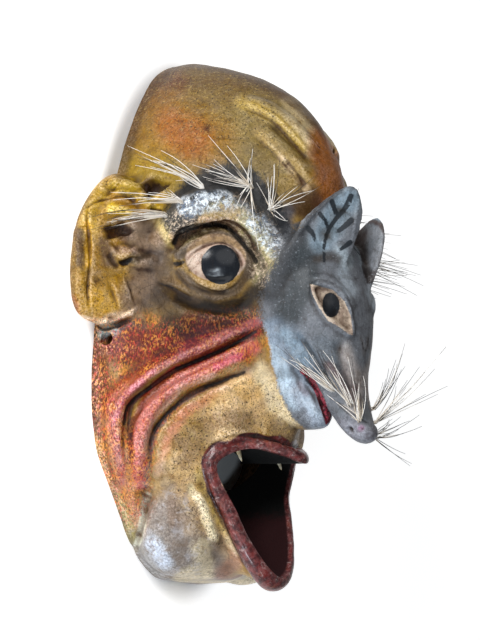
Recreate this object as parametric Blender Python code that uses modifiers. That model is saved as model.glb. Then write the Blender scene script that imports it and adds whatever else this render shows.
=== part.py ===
"""A carved and painted wooden dance mask: a long face with an open mouth, whose nose is a fox's head.

It lies on the flat rim of its open back. X runs across the face towards its own left, Y up the
forehead and Z out of the face. The origin is the middle of the back, in the rim's plane.
The carving is drawn in units, and the mask is 330 of them tall, so it grows with mask_height.
Walls, holes, teeth and bristles have sizes of their own, in metres.
"""

import math

import bmesh
import bpy
import numpy as np
from mathutils import Matrix, Vector
from mathutils.bvhtree import BVHTree

mask_height = 0.330
wall_thickness = 0.012
rim_band = 0.012
tie_hole_diameter = 0.008
brow_hole_diameter = 0.0042
brow_hole_depth = 0.006
whisker_hole_diameter = 0.003
whisker_hole_depth = 0.0045
plug_stand = 0.0014
bristle_thickness = 0.0012
bristle_tip_thickness = 0.0005
tooth_length = 0.008
tooth_diameter = 0.0034
tooth_tip_diameter = 0.001
tooth_hole_depth = 0.003
fit_gap = 0.0003
cut_margin = 0.004

# How finely the skin is grown, and about how many triangles it keeps.
voxel_size = 0.0022
skin_triangles = 6100

UNITS_TALL = 330
unit = mask_height / UNITS_TALL
MASK_NAME = "fox_mask"
CUTTERS = "fox_mask cutters"

# Down the face: height, half width at the rim, depth on the centre line, fullness of the section.
# A fullness of 1 is a wedge and 2 is an ellipse.
FACE_STATIONS = [
    (164, 8, 14, 2.0),
    (158, 20, 34, 2.0),
    (148, 31.5, 58, 1.95),
    (134, 42, 80, 1.9),
    (116, 52, 96, 1.9),
    (96, 61, 106, 1.85),
    (76, 68, 113, 1.75),
    (54, 74, 112, 1.55),
    (28, 80, 104, 1.4),
    (0, 85, 96, 1.3),
    (-28, 88, 88, 1.25),
    (-52, 89, 85, 1.2),
    (-74, 87, 82, 1.2),
    (-90, 82, 72, 1.3),
    (-106, 71, 62, 1.45),
    (-122, 60.5, 57, 1.55),
    (-138, 49, 53, 1.7),
    (-150, 35, 45, 1.9),
    (-156, 23, 34, 2.0),
]
FACE_FLOOR = -8
HOLLOW_TOP = 152
HOLLOW_BOTTOM = -102

# Down the fox's head and down its lower jaw: height, half width, back, widest depth and front.
FOX_STATIONS = [
    (46, 18, 80, 96, 108),
    (38, 28, 70, 94, 118),
    (26, 33, 62, 90, 124),
    (10, 35.5, 60, 88, 128),
    (-6, 35, 60, 88, 130),
    (-20, 32, 60, 90, 130),
    (-32, 27, 66, 94, 129),
    (-43, 21, 88, 106, 128),
    (-55, 16.5, 102, 114, 129),
    (-65, 13, 109, 119, 131),
    (-73, 10.5, 114, 124, 134),
    (-79, 7.5, 119, 128, 136),
    (-83, 3.5, 125, 130, 134),
]
FOX_JAW_STATIONS = [
    (-14, 28, 58, 80, 94),
    (-34, 24, 60, 83, 98),
    (-50, 18, 64, 86, 101),
    (-60, 14, 69, 89, 104),
    (-67, 10, 76, 93, 105),
    (-72, 5, 86, 96, 103),
]
# Each ear of the fox: the outer and inner ends of its root, and its tip.
FOX_EARS = [
    ((-42, 16, 88), (-13, 20, 125), (-26, 63, 136)),
    ((40, 25, 80), (9, 11, 129), (20, 55, 128)),
]
FOX_EAR_THICKNESS = 7
FOX_LIDS = [(-32, 5, 114), (-25, 5, 122), (-17, -4, 128), (-13, -21, 129), (-21, -18, 124), (-29, -8, 117)]
FOX_LID_RADIUS = 1.5

# The lips' line, from the middle of the upper lip round the right corner to the middle of the lower one.
LIP_HALF = [
    (0, -89, 84),
    (-13, -85, 76),
    (-26, -81, 63),
    (-34, -90, 49),
    (-33, -104, 50),
    (-31, -121, 56),
    (-24, -138, 61),
    (-13.5, -152, 65),
    (0, -158, 66),
]
LIP_RADII = [5.5, 5.2, 4.6, 4.2, 4.2, 4.2, 4.8, 6, 7]
MOUTH_MIDDLE = (0, -116)
MOUTH_BACK = 6
MOUTH_GROW = -2.5
MOUTH_DEPTHS = (-0.5, 0.0, 0.35, 0.7, 1.15, 1.5)
SCOOP_DEPTHS = (0.0, 0.3, 0.6, 0.9)
TOOTH_ACROSS = 22
TOOTH_DEPTH_SHARE = 0.16
TOOTH_AIM = (0, -0.97, 0.24)

# The right eye: the middle of its opening, its turn to the side and its half sizes.
EYE_MIDDLE = (-53, 23, 61)
EYE_TURN = 50
EYE_HALF_SIZES = (20.5, 15.5)
EYEBALL_RADII = (24, 19, 13)
EYEBALL_SINK = 6
LID_RADIUS = 3.4

# The right ear: its outline across and up, and the line of its rim.
EAR_OUTLINE = [
    (-62, 73), (-79, 70), (-92, 61), (-102, 45), (-108, 22),
    (-109, -2), (-103, -12), (-88, -13), (-62, -8),
]
EAR_RIM = [
    (-68, 72, 12), (-80, 70, 9), (-90, 62, 7), (-100, 48, 5),
    (-106, 30, 4), (-108, 8, 4), (-104, -8, 6), (-92, -13, 12),
]
EAR_RIM_RADII = [4, 6, 6, 5.5, 5, 5, 5.5, 5]
EAR_THICKNESS = 9
EAR_INNER_DEPTH = 34
EAR_OUTER_DEPTH = 5
TIE_HOLE = (-24, 9)

BROW = [(-71, 30, 32), (-70, 43, 44), (-64, 51, 55), (-55, 54, 62), (-45, 51, 69), (-37, 42, 75), (-31, 28, 80)]
BROW_RADII = [6, 10, 12, 12.5, 12, 11, 9]

# Strokes of the carver's tools on the right side: points on the skin, reach to each side and height.
# A height below 0 cuts in. Each is made on both sides of the face.
STROKES = {
    "upper cheek fold": (
        [(-30, -10, 76), (-46, -22, 61), (-62, -33, 44), (-77, -48, 28), (-84, -64, 15), (-72, -106, 12)],
        8, 4.0,
    ),
    "lower cheek fold": (
        [(-30, -27, 72), (-48, -40, 56), (-63, -50, 41), (-73, -64, 30), (-75, -84, 23), (-69, -106, 21)],
        8, 3.6,
    ),
    "upper cheek groove": (
        [(-29, -16, 75), (-40, -25, 65), (-54, -35, 52), (-69, -46, 36), (-82, -68, 19), (-71, -106, 16)],
        5, -4.6,
    ),
    "lower cheek groove": (
        [(-28, -38, 71), (-43, -47, 58), (-55, -54, 48), (-63, -64, 39), (-69, -77, 30), (-66, -108, 24)],
        5.5, -4.6,
    ),
    "valley behind the jowl": ([(-66, -106, 24), (-63, -120, 18), (-58, -131, 12), (-50, -141, 6)], 8, -3.5),
    "jowl ridge": ([(-48, -106, 44), (-42, -117, 46), (-36, -128, 47), (-30, -140, 47)], 9, 2.0),
    "outer forehead ridge": ([(-32, 124, 65), (-24, 115, 82), (-17, 100, 94), (-10, 88, 103)], 8, 2.6),
    "inner forehead ridge": ([(-34, 102, 79), (-27, 86, 93), (-19, 72, 102)], 7, 2.2),
    "forehead furrow": ([(-29, 108, 81), (-23, 94, 92), (-15, 80, 102)], 5, -1.6),
    "temple furrow": ([(-29, 82, 91), (-24, 75, 97), (-19, 66, 101)], 4.5, -2.2),
    "crease over the eye": (
        [(-68, 29, 40), (-66, 36, 46), (-60, 42, 55), (-52, 45, 66), (-45, 41, 74), (-39, 31, 79), (-36, 20, 83)],
        4.5, -5.5,
    ),
    "crease under the eye": ([(-71, 9, 36), (-63, 0, 46), (-53, -5, 57), (-42, -6, 68), (-35, 0, 78)], 6, -2.6),
    "groove inside the ear's rim": ([(-96, 58, 12), (-100, 42, 9), (-101, 18, 9), (-98, -4, 12)], 4.5, -2.6),
    "notch behind the temple": ([(-68, 70, 18), (-66, 62, 28)], 10, -8.0),
    "ear's upper hollow": ([(-91, 43, 16), (-88, 34, 18)], 12, -8.0),
    "ear's hole": ([(-83, 21, 19)], 6, -8.0),
    "ear's middle ridge": ([(-90, 27, 15), (-80, 22, 24), (-70, 21, 34)], 6, 3.5),
    "ear's upper ridge": ([(-92, 66, 10), (-84, 68, 14), (-77, 58, 24), (-74, 50, 33)], 7, 4.0),
    "ear's lobe": ([(-94, -1, 18), (-84, 3, 22)], 12, 2.5),
    "fox's mouth": ([(-21, -36, 100), (-17, -45, 102), (-14, -55, 106), (-10, -64, 109)], 4, -4.0),
    "fox's brow": ([(-31, 9, 110), (-25, 9, 120), (-17, 2, 127), (-10, -8, 130)], 4, 1.6),
    "hollow of the fox's ear": ([(-27, 30, 117), (-26, 42, 126), (-25, 52, 132)], 9, -2.2),
    "fox's nostril": ([(-8, -76, 124)], 3.2, -3.0),
    "side of the muzzle": ([(-20, -24, 124), (-15, -42, 124), (-10, -58, 127)], 5, -1.4),
}
# The share of a stroke over which it fades in and out, and the height left at its very ends.
STROKE_FADE = 0.18
STROKE_END = 0.15

# The right side of the line where the fox's head runs into the face. The crease there is rubbed full.
FOX_EDGE = [(-30, 34, 96), (-37, 22, 86), (-39, 8, 80), (-38, -8, 76), (-34, -22, 75), (-28, -38, 76), (-22, -52, 77)]
FOX_EDGE_REACH = 13
FOX_EDGE_ROUNDS = 30

# Tufts of bristles: a place on the skin, the way its bristles lie and their length.
BROW_TUFTS = {
    "right": [
        ((-80, 46, 44), (-38, -5, -20), 37),
        ((-76, 53, 53), (-36, 1, -30), 46),
        ((-67, 64, 61), (-38, 17, -29), 50),
        ((-47, 65, 82), (-35, 20, -19), 45),
        ((-38, 52, 90), (-11, 27, 24), 38),
    ],
    "left": [
        ((80, 46, 44), (38, -5, -20), 37),
        ((76, 53, 53), (39, -6, 37), 52),
        ((67, 64, 61), (44, -12, 36), 54),
        ((47, 65, 82), (35, 20, -19), 45),
        ((38, 52, 90), (20, 28, -5), 38),
    ],
}
WHISKER_TUFTS = {
    "right": [
        ((-17, -54, 118), (-28, 22, -17), 38),
        ((-12, -63, 127), (-28, 33, -13), 44),
        ((-9, -71, 131), (-23, 32, -3), 38),
    ],
    "left": [
        ((12, -62, 127), (12, 48, 30), 56),
        ((9, -70, 131), (31, 30, 44), 58),
        ((7, -77, 128), (22, -8, 20), 32),
    ],
}
BRISTLES_PER_TUFT = 4
BRISTLE_SPREAD = 11
BRISTLE_LIFT = 0.3


def smooth_between(stations, at):
    """The stations' values at a place between them, on smooth curves. Their first column is the place."""
    table = np.array(sorted(stations), float)
    places, values = table[:, 0], table[:, 1:]
    slopes = np.gradient(values, places, axis=0)
    i = int(np.clip(np.searchsorted(places, at) - 1, 0, len(places) - 2))
    span = places[i + 1] - places[i]
    t = (at - places[i]) / span
    start = (2 * t**3 - 3 * t**2 + 1) * values[i] + (t**3 - 2 * t**2 + t) * span * slopes[i]
    end = (3 * t**2 - 2 * t**3) * values[i + 1] + (t**3 - t**2) * span * slopes[i + 1]
    return start + end


def spline(points, count, closed=False):
    """The given number of points on a smooth curve through the points."""
    p = np.array(points, float)
    n = len(p)
    spans = n if closed else n - 1
    made = []
    for s in np.linspace(0, spans, count, endpoint=not closed):
        i = min(int(s), spans - 1)
        t = s - i
        if closed:
            a, b, c, d = (p[(i + k) % n] for k in (-1, 0, 1, 2))
        else:
            b, c = p[i], p[i + 1]
            a = p[i - 1] if i else 2 * b - c
            d = p[i + 2] if i + 2 < n else 2 * c - b
        bend = (c - a) * t + (2 * a - 5 * b + 4 * c - d) * t**2 + (3 * b - a - 3 * c + d) * t**3
        made.append(b + bend / 2)
    return np.array(made)


def mirrored(points):
    return [(-x, y, z) for x, y, z in points]


def new_object(name, mesh, collection):
    group = bpy.data.collections.get(collection)
    if group is None:
        group = bpy.data.collections.new(collection)
        bpy.context.scene.collection.children.link(group)
    obj = bpy.data.objects.new(name, mesh)
    group.objects.link(obj)
    return obj


def cutter_object(name, mesh):
    """An object that shapes others through their modifiers and isn't a part itself."""
    obj = new_object(name, mesh, CUTTERS)
    obj.hide_render = True
    obj.display_type = "WIRE"
    return obj


def mesh_from(bm, name):
    bmesh.ops.recalc_face_normals(bm, faces=bm.faces[:])
    mesh = bpy.data.meshes.new(name)
    bm.to_mesh(mesh)
    bm.free()
    return mesh


def evaluated_mesh(obj):
    bpy.context.view_layer.update()
    return bpy.data.meshes.new_from_object(obj.evaluated_get(bpy.context.evaluated_depsgraph_get()))


def loft(name, rings):
    """A closed body through rings of points in units, which all have the same count."""
    bm = bmesh.new()
    made = [[bm.verts.new(Vector(p) * unit) for p in ring] for ring in rings]
    count = len(made[0])
    for low, high in zip(made, made[1:]):
        for i in range(count):
            j = (i + 1) % count
            bm.faces.new((low[i], low[j], high[j], high[i]))
    bm.faces.new(made[0][::-1])
    bm.faces.new(made[-1])
    return mesh_from(bm, name)


def ellipsoid(name, centre, radii, turn=0):
    """An ellipsoid with its place and radii in units, turned about the face's upright axis."""
    bm = bmesh.new()
    bmesh.ops.create_uvsphere(bm, u_segments=32, v_segments=20, radius=1)
    stretch = Matrix.Diagonal((*(Vector(radii) * unit), 1))
    place = Matrix.Translation(Vector(centre) * unit) @ Matrix.Rotation(math.radians(turn), 4, "Y")
    bmesh.ops.transform(bm, matrix=place @ stretch, verts=bm.verts[:])
    return mesh_from(bm, name)


def rod(name, points, radii, closed=False):
    """A round rod through the points in units, with a radius at each."""
    dense = spline([(*p, r) for p, r in zip(points, radii)], 6 * len(points), closed)
    curve = bpy.data.curves.new(name, "CURVE")
    curve.dimensions = "3D"
    curve.bevel_depth = unit
    curve.bevel_resolution = 3
    curve.use_fill_caps = not closed
    line = curve.splines.new("POLY")
    line.points.add(len(dense) - 1)
    for point, (x, y, z, r) in zip(line.points, dense):
        point.co = (*(Vector((x, y, z)) * unit), 1)
        point.radius = r
    line.use_cyclic_u = closed
    guide = new_object(name, curve, CUTTERS)
    mesh = evaluated_mesh(guide)
    bpy.data.objects.remove(guide)
    bm = bmesh.new()
    bm.from_mesh(mesh)
    bmesh.ops.remove_doubles(bm, verts=bm.verts[:], dist=1e-6)
    return mesh_from(bm, name)


def cylinder(name, start, end, radius, sides, end_radius=None):
    """A cylinder, or a cone where it has an end_radius, between two places in metres."""
    start, end = Vector(start), Vector(end)
    bm = bmesh.new()
    end_radius = radius if end_radius is None else end_radius
    length = (end - start).length
    bmesh.ops.create_cone(bm, cap_ends=True, segments=sides, depth=length, radius1=radius, radius2=end_radius)
    turned = (end - start).to_track_quat("Z", "Y").to_matrix().to_4x4()
    bmesh.ops.transform(bm, matrix=Matrix.Translation((start + end) / 2) @ turned, verts=bm.verts[:])
    return mesh_from(bm, name)


def box(name, low, high):
    low, high = Vector(low), Vector(high)
    bm = bmesh.new()
    bmesh.ops.create_cube(bm, size=1)
    place = Matrix.Translation((low + high) / 2) @ Matrix.Diagonal((*(high - low), 1))
    bmesh.ops.transform(bm, matrix=place, verts=bm.verts[:])
    return mesh_from(bm, name)


def face_section(y, inset, floor, count):
    """The outline of the face at a height: a rim, a side, the front, the other side and the other rim."""
    half_width, depth, fullness = smooth_between(FACE_STATIONS, y)
    half_width = half_width - inset
    band = rim_band / unit
    crown = depth - inset - band
    ring = [(half_width, y, floor)]
    for k in range(count + 1):
        angle = math.pi * k / count
        across = math.copysign(abs(math.cos(angle)) ** (2 / fullness), math.cos(angle))
        out = max(math.sin(angle), 0) ** (2 / fullness)
        ring.append((half_width * across, y, band + crown * out))
    ring.append((-half_width, y, floor))
    return ring


def face_body():
    heights = np.linspace(FACE_STATIONS[0][0], FACE_STATIONS[-1][0], 60)
    return loft("face", [face_section(y, 0, FACE_FLOOR, 40) for y in heights])


def hollow_body():
    """The hollow for the wearer's face, a wall's thickness inside the face and round at its ends."""
    inset = wall_thickness / unit
    middle, half = (HOLLOW_TOP + HOLLOW_BOTTOM) / 2, (HOLLOW_TOP - HOLLOW_BOTTOM) / 2
    sections = []
    for share in np.linspace(-1, 1, 16):
        swell = (1 - min(abs(share), 0.995) ** 6) ** 0.4
        narrow = 0.6 + 0.4 * swell
        ring = face_section(middle + share * half, inset, -cut_margin / unit, 16)
        sections.append([(x * narrow, y, z if z < 0 else z * swell) for x, y, z in ring])
    return loft("hollow", sections)


def head_section(y, half_width, back, middle, front):
    count, power = 32, 2.25
    ring = []
    for k in range(count):
        angle = 2 * math.pi * k / count
        c, s = math.cos(angle), math.sin(angle)
        reach = front - middle if s > 0 else middle - back
        x = half_width * math.copysign(abs(c) ** (2 / power), c)
        z = middle + reach * math.copysign(abs(s) ** (2 / power), s)
        ring.append((x, y, z))
    return ring


def fox_ear(name, outer, inner, tip):
    """A leaf that stands on the line from outer to inner and ends in a rounded tip."""
    outer, inner, tip = (np.array(p, float) for p in (outer, inner, tip))
    across = inner - outer
    middle = (outer + inner) / 2
    normal = np.cross(across, tip - middle)
    normal /= np.linalg.norm(normal)
    root = middle - 0.3 * (tip - middle)
    rings = []
    for t in np.linspace(0, 1, 12):
        centre = root + (tip - root) * t
        width = 0.5 * (1 - t**3) ** 0.75 + 0.04
        thick = FOX_EAR_THICKNESS * (1 - 0.35 * t) / 2
        angles = np.linspace(0, 2 * math.pi, 16, endpoint=False)
        rings.append([centre + across * width * math.cos(a) + normal * thick * math.sin(a) for a in angles])
    return loft(name, rings)


def fox_forms():
    """The fox's head, its jaw, nose and ears."""
    forms = []
    for name, stations in (("fox head", FOX_STATIONS), ("fox jaw", FOX_JAW_STATIONS)):
        heights = np.linspace(stations[0][0], stations[-1][0], 34)
        forms.append(loft(name, [head_section(y, *smooth_between(stations, y)) for y in heights]))
    forms.append(ellipsoid("fox nose", (0, -77, 129), (9.5, 7, 7.5)))
    forms.extend(fox_ear("fox ear", *corners) for corners in FOX_EARS)
    return forms


def lip_line(count):
    return spline(LIP_HALF + mirrored(LIP_HALF[-2:0:-1]), count, closed=True)


def mouth_rings(grow, depths, count=40):
    """Rings of the mouth's passage, wider than the lips' line by grow. Depth 0 is at the lips, 1 at its back.

    The passage narrows towards its back, except above, where it climbs behind the upper lip.
    """
    rings = []
    for k in depths:
        ring = []
        for x, y, z in lip_line(count):
            out = np.array((x - MOUTH_MIDDLE[0], y - MOUTH_MIDDLE[1]))
            out = out * (1 + grow / np.linalg.norm(out))
            rise = 1 + 0.25 * k if out[1] > 0 else 1 - 0.45 * k
            px = MOUTH_MIDDLE[0] + out[0] * (1 - 0.25 * k)
            ring.append((px, MOUTH_MIDDLE[1] + out[1] * rise, z * (1 - k) + MOUTH_BACK * k))
        rings.append(ring)
    return rings


def lips():
    radii = LIP_RADII + LIP_RADII[-2:0:-1]
    return rod("lips", LIP_HALF + mirrored(LIP_HALF[-2:0:-1]), radii, closed=True)


def eye_point(across, up, out):
    """A point by the right eye: along the face, up it and out of it from the middle of the eye."""
    turn = math.radians(EYE_TURN)
    x = EYE_MIDDLE[0] + across * math.cos(turn) - out * math.sin(turn)
    z = EYE_MIDDLE[2] + across * math.sin(turn) + out * math.cos(turn)
    return (x, EYE_MIDDLE[1] + up, z)


def lid_line():
    """The line of the right eye's lids, an almond a little fuller above."""
    points = []
    for angle in np.linspace(0, 2 * math.pi, 10, endpoint=False):
        c, s = math.cos(angle), math.sin(angle)
        rise = s * (EYE_HALF_SIZES[1] + (2 if s > 0 else 0))
        points.append(eye_point(EYE_HALF_SIZES[0] * c, rise, 2.5 - 3 * abs(c)))
    return points


def ear_plate(side):
    """The ear's plate, which slopes from the cheek back to the rim's plane."""
    outline = spline(EAR_OUTLINE, 36, closed=True)
    inner, outer = outline[:, 0].max(), outline[:, 0].min()
    rings = []
    for lift in (EAR_THICKNESS / 2, -EAR_THICKNESS / 2):
        ring = []
        for x, y in outline:
            share = (x - outer) / (inner - outer)
            ring.append((side * x, y, EAR_OUTER_DEPTH + (EAR_INNER_DEPTH - EAR_OUTER_DEPTH) * share + lift))
        rings.append(ring)
    return loft("ear", rings)


def broad_side_forms():
    """The forms that swell under the skin on both sides of the face."""
    forms = []
    for turned, side in ((list, 1), (mirrored, -1)):
        forms.append(rod("brow", turned(BROW), BROW_RADII))
        forms.append(ellipsoid("jowl", turned([(-34, -125, 23)])[0], (29, 32, 25)))
        forms.append(ellipsoid("upper lip", turned([(-28, -66, 50)])[0], (20, 28, 18)))
        forms.append(ear_plate(side))
    return forms


def fine_side_forms():
    """The forms with firmer edges on both sides of the face."""
    forms = []
    for turned, side in ((list, 1), (mirrored, -1)):
        lids = lid_line()
        forms.append(rod("lids", turned(lids), [LID_RADIUS] * len(lids), closed=True))
        ball = turned([eye_point(0, 0, -EYEBALL_SINK)])[0]
        forms.append(ellipsoid("eyeball", ball, EYEBALL_RADII, side * -EYE_TURN))
        forms.append(rod("ear rim", turned(EAR_RIM), EAR_RIM_RADII))
        forms.append(rod("fox lids", turned(FOX_LIDS), [FOX_LID_RADIUS] * len(FOX_LIDS), closed=True))
        forms.append(ellipsoid("fox eyeball", turned([(-21, -7, 118)])[0], (5, 7, 5)))
    return forms


def fused(meshes, name, rounds):
    """One skin grown round overlapping bodies, then rubbed down for a number of rounds."""
    bm = bmesh.new()
    for mesh in meshes:
        bm.from_mesh(mesh)
    obj = new_object(name, mesh_from(bm, name), CUTTERS)
    remesh = obj.modifiers.new("fuse", "REMESH")
    remesh.mode = "VOXEL"
    remesh.voxel_size = voxel_size
    rub = obj.modifiers.new("rub down", "SMOOTH")
    rub.factor = 0.5
    rub.iterations = rounds
    mesh = evaluated_mesh(obj)
    bpy.data.objects.remove(obj)
    return mesh


def near_line(points, line):
    """Each point's distance to a line through the given points, and how far along the line that is."""
    if len(line) == 1:
        return np.linalg.norm(points - line[0], axis=1), np.full(len(points), 0.5)
    best, share = np.full(len(points), np.inf), np.zeros(len(points))
    for i, (a, b) in enumerate(zip(line, line[1:])):
        along = b - a
        t = np.clip((points - a) @ along / max(along @ along, 1e-12), 0, 1)
        away = np.linalg.norm(points - a - t[:, None] * along, axis=1)
        closer = away < best
        best[closer], share[closer] = away[closer], (i + t[closer]) / (len(line) - 1)
    return best, share


def carve(mesh, strokes):
    """Moves the skin in or out along each stroke, most on its line and not at all at its reach."""
    count = len(mesh.vertices)
    places, normals = np.empty(count * 3), np.empty(count * 3)
    mesh.vertices.foreach_get("co", places)
    mesh.vertices.foreach_get("normal", normals)
    places, normals = places.reshape(-1, 3), normals.reshape(-1, 3)
    skin = skin_tree(mesh)
    moved = places.copy()
    for points, reach, height in strokes:
        dense = points if len(points) == 1 else spline(points, 5 * len(points))
        found = [skin.find_nearest(Vector(p) * unit) for p in dense]
        line = np.array([hit[0] for hit in found])
        facing = np.mean([hit[1] for hit in found], axis=0)
        away, along = near_line(places, line)
        away = away / (reach * unit)
        near = (away < 1) & (normals @ facing > 0)
        bell = (1 - away[near] ** 2) ** 2
        if len(points) > 2:
            ends = np.minimum(along[near], 1 - along[near])
            bell *= np.clip(ends / STROKE_FADE, STROKE_END, 1)
        moved[near] += normals[near] * (bell * height * unit)[:, None]
    mesh.vertices.foreach_set("co", moved.ravel())
    mesh.update()


def skin_tree(mesh):
    return BVHTree.FromPolygons([v.co for v in mesh.vertices], [p.vertices[:] for p in mesh.polygons])


def rub_full(mesh, points, reach, rounds):
    """Rubs the skin within reach of a line down to the mean of its neighbours, most on the line."""
    count = len(mesh.vertices)
    places, ends = np.empty(count * 3), np.empty(len(mesh.edges) * 2, int)
    mesh.vertices.foreach_get("co", places)
    mesh.edges.foreach_get("vertices", ends)
    places, (a, b) = places.reshape(-1, 3), ends.reshape(-1, 2).T
    away, _ = near_line(places, spline(points, 5 * len(points)) * unit)
    share = 0.6 * np.clip(1 - away / (reach * unit), 0, 1)[:, None]
    joined = (np.bincount(a, minlength=count) + np.bincount(b, minlength=count))[:, None]
    for _ in range(rounds):
        sums = [np.bincount(a, places[b, k], count) + np.bincount(b, places[a, k], count) for k in range(3)]
        places = places + share * (np.stack(sums, axis=1) / joined - places)
    mesh.vertices.foreach_set("co", places.ravel())
    mesh.update()


def carved_skin():
    """The whole outside of the mask, before it is hollowed."""
    scoop = loft("scoop", mouth_rings(LIP_RADII[3] - 1, SCOOP_DEPTHS))
    broad = fused([face_body(), scoop, *broad_side_forms()], "broad forms", 22)
    head = fused(fox_forms(), "fox head", 7)
    skin = fused([broad, head, lips(), *fine_side_forms()], "skin", 4)
    for points in (FOX_EDGE, mirrored(FOX_EDGE)):
        rub_full(skin, points, FOX_EDGE_REACH, FOX_EDGE_ROUNDS)
    strokes = list(STROKES.values())
    carve(skin, strokes + [(mirrored(points), reach, height) for points, reach, height in strokes])
    return skin


def tuft_parts(name, place, axis, way, length, diameter, depth):
    """The cutter of a tuft's blind hole, and the tuft: a plug and its bristles in one piece."""
    bottom = place - axis * depth
    hole = cylinder(name + " hole", bottom, place + axis * cut_margin, diameter / 2, 10)
    plug = cylinder(name, bottom + axis * fit_gap, place + axis * plug_stand, diameter / 2 - fit_gap, 8)
    tuft = new_object(name, plug, MASK_NAME)
    way = Vector(way).normalized()
    way = (way + axis * max(0.0, BRISTLE_LIFT - way.dot(axis))).normalized()
    side = way.orthogonal().normalized()
    other = way.cross(side)
    root = place + axis * (plug_stand - bristle_thickness / 2)
    for k in range(BRISTLES_PER_TUFT):
        angle = 2 * math.pi * k / (BRISTLES_PER_TUFT - 1)
        lean = math.tan(math.radians(BRISTLE_SPREAD)) if k else 0
        aim = (way + (side * math.cos(angle) + other * math.sin(angle)) * lean).normalized()
        end = root + aim * length * unit * (1 - 0.12 * (k % 3))
        label = f"{name} bristle {k}"
        bristle = cylinder(label, root, end, bristle_thickness / 2, 4, bristle_tip_thickness / 2)
        join = tuft.modifiers.new(f"bristle {k}", "BOOLEAN")
        join.operation = "UNION"
        join.solver = "EXACT"
        join.object = cutter_object(label, bristle)
    return cutter_object(name + " hole", hole), tuft


def all_tufts(skin):
    """The cutters of the tufts' holes, and the tufts of the brows and whiskers."""
    holes, tufts = [], []
    kinds = (
        ("brow_tuft", BROW_TUFTS, brow_hole_diameter, brow_hole_depth),
        ("whisker_tuft", WHISKER_TUFTS, whisker_hole_diameter, whisker_hole_depth),
    )
    for kind, sides, diameter, depth in kinds:
        for side, rows in sides.items():
            for number, (point, way, length) in enumerate(rows, 1):
                place, normal, _, _ = skin.find_nearest(Vector(point) * unit)
                axis = (normal + 0.5 * Vector(way).normalized()).normalized()
                name = f"{kind}_{side}_{number}"
                hole, tuft = tuft_parts(name, place, axis, way, length, diameter, depth)
                holes.append(hole)
                tufts.append(tuft)
    return holes, tufts


def teeth():
    """The cutters of two blind holes under the upper lip, and a pointed peg for each."""
    holes, pegs = [], []
    aim = Vector(TOOTH_AIM).normalized()
    above = [p for p in mouth_rings(MOUTH_GROW, [TOOTH_DEPTH_SHARE], 120)[0] if p[1] > MOUTH_MIDDLE[1]]
    for side, name in ((-1, "tooth_right"), (1, "tooth_left")):
        root = Vector(min(above, key=lambda p: abs(p[0] - side * TOOTH_ACROSS))) * unit
        top = root - aim * tooth_hole_depth
        radius = tooth_diameter / 2
        hole = cylinder(name + " hole", top, root + aim * cut_margin, radius + fit_gap, 12)
        holes.append(cutter_object(name + " hole", hole))
        tip = root + aim * tooth_length
        peg = cylinder(name, top + aim * fit_gap, tip, radius, 10, tooth_tip_diameter / 2)
        pegs.append(new_object(name, peg, MASK_NAME))
    return holes, pegs


def room_cutters():
    """The cutters of all below the rim, the hollow, the mouth and the two tie holes."""
    away = mask_height
    tie_ends = [(side * away, TIE_HOLE[0] * unit, TIE_HOLE[1] * unit) for side in (-1, 1)]
    return [
        cutter_object("below the rim", box("below the rim", (-away, -away, -away), (away, away, 0))),
        cutter_object("hollow", hollow_body()),
        cutter_object("mouth", loft("mouth", mouth_rings(MOUTH_GROW, MOUTH_DEPTHS, 22))),
        cutter_object("tie holes", cylinder("tie holes", *tie_ends, tie_hole_diameter / 2, 16)),
    ]


def cut(obj, cutters):
    for cutter in cutters:
        step = obj.modifiers.new(cutter.name, "BOOLEAN")
        step.operation = "DIFFERENCE"
        step.solver = "EXACT"
        step.object = cutter


def material(name, colour, roughness):
    made = bpy.data.materials.new(name)
    made.use_nodes = True
    shader = made.node_tree.nodes["Principled BSDF"]
    shader.inputs["Base Color"].default_value = (*colour, 1)
    shader.inputs["Roughness"].default_value = roughness
    shader.inputs["Metallic"].default_value = 0
    return made


def build():
    for old in list(bpy.data.objects):
        bpy.data.objects.remove(old)
    skin = carved_skin()
    tuft_holes, tufts = all_tufts(skin_tree(skin))
    tooth_holes, pegs = teeth()
    mask = new_object("mask", skin, MASK_NAME)
    thin = mask.modifiers.new("thin out", "DECIMATE")
    thin.ratio = skin_triangles / (2 * len(skin.polygons))
    cut(mask, [*room_cutters(), *tuft_holes, *tooth_holes])
    paint = material("painted wood", (0.46, 0.26, 0.10), 0.42)
    ivory = material("tooth", (0.80, 0.74, 0.60), 0.40)
    hair = material("bristle", (0.74, 0.66, 0.50), 0.50)
    for coat, coated in ((paint, [mask]), (ivory, pegs), (hair, tufts)):
        for obj in coated:
            obj.data.materials.append(coat)


build()
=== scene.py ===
import math
import time

import bmesh
import bpy
import numpy as np
from mathutils import Matrix, Vector, noise
from mathutils.bvhtree import BVHTree


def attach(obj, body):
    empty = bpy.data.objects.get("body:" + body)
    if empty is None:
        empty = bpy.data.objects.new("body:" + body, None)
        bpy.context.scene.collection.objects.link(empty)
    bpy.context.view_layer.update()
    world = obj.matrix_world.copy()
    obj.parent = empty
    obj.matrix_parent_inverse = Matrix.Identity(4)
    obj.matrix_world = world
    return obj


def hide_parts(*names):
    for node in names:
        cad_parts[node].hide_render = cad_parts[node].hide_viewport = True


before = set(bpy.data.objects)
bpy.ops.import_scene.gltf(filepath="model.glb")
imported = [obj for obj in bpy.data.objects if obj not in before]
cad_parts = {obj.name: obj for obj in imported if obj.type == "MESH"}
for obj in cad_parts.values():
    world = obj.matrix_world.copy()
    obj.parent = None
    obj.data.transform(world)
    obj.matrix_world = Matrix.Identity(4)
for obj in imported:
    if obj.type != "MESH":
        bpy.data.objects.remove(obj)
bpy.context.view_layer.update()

# The carving is drawn in millimetres. X runs to the face's own left, Y up the forehead, Z out of the face.
mm = 0.001
startTime = time.time()


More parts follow.
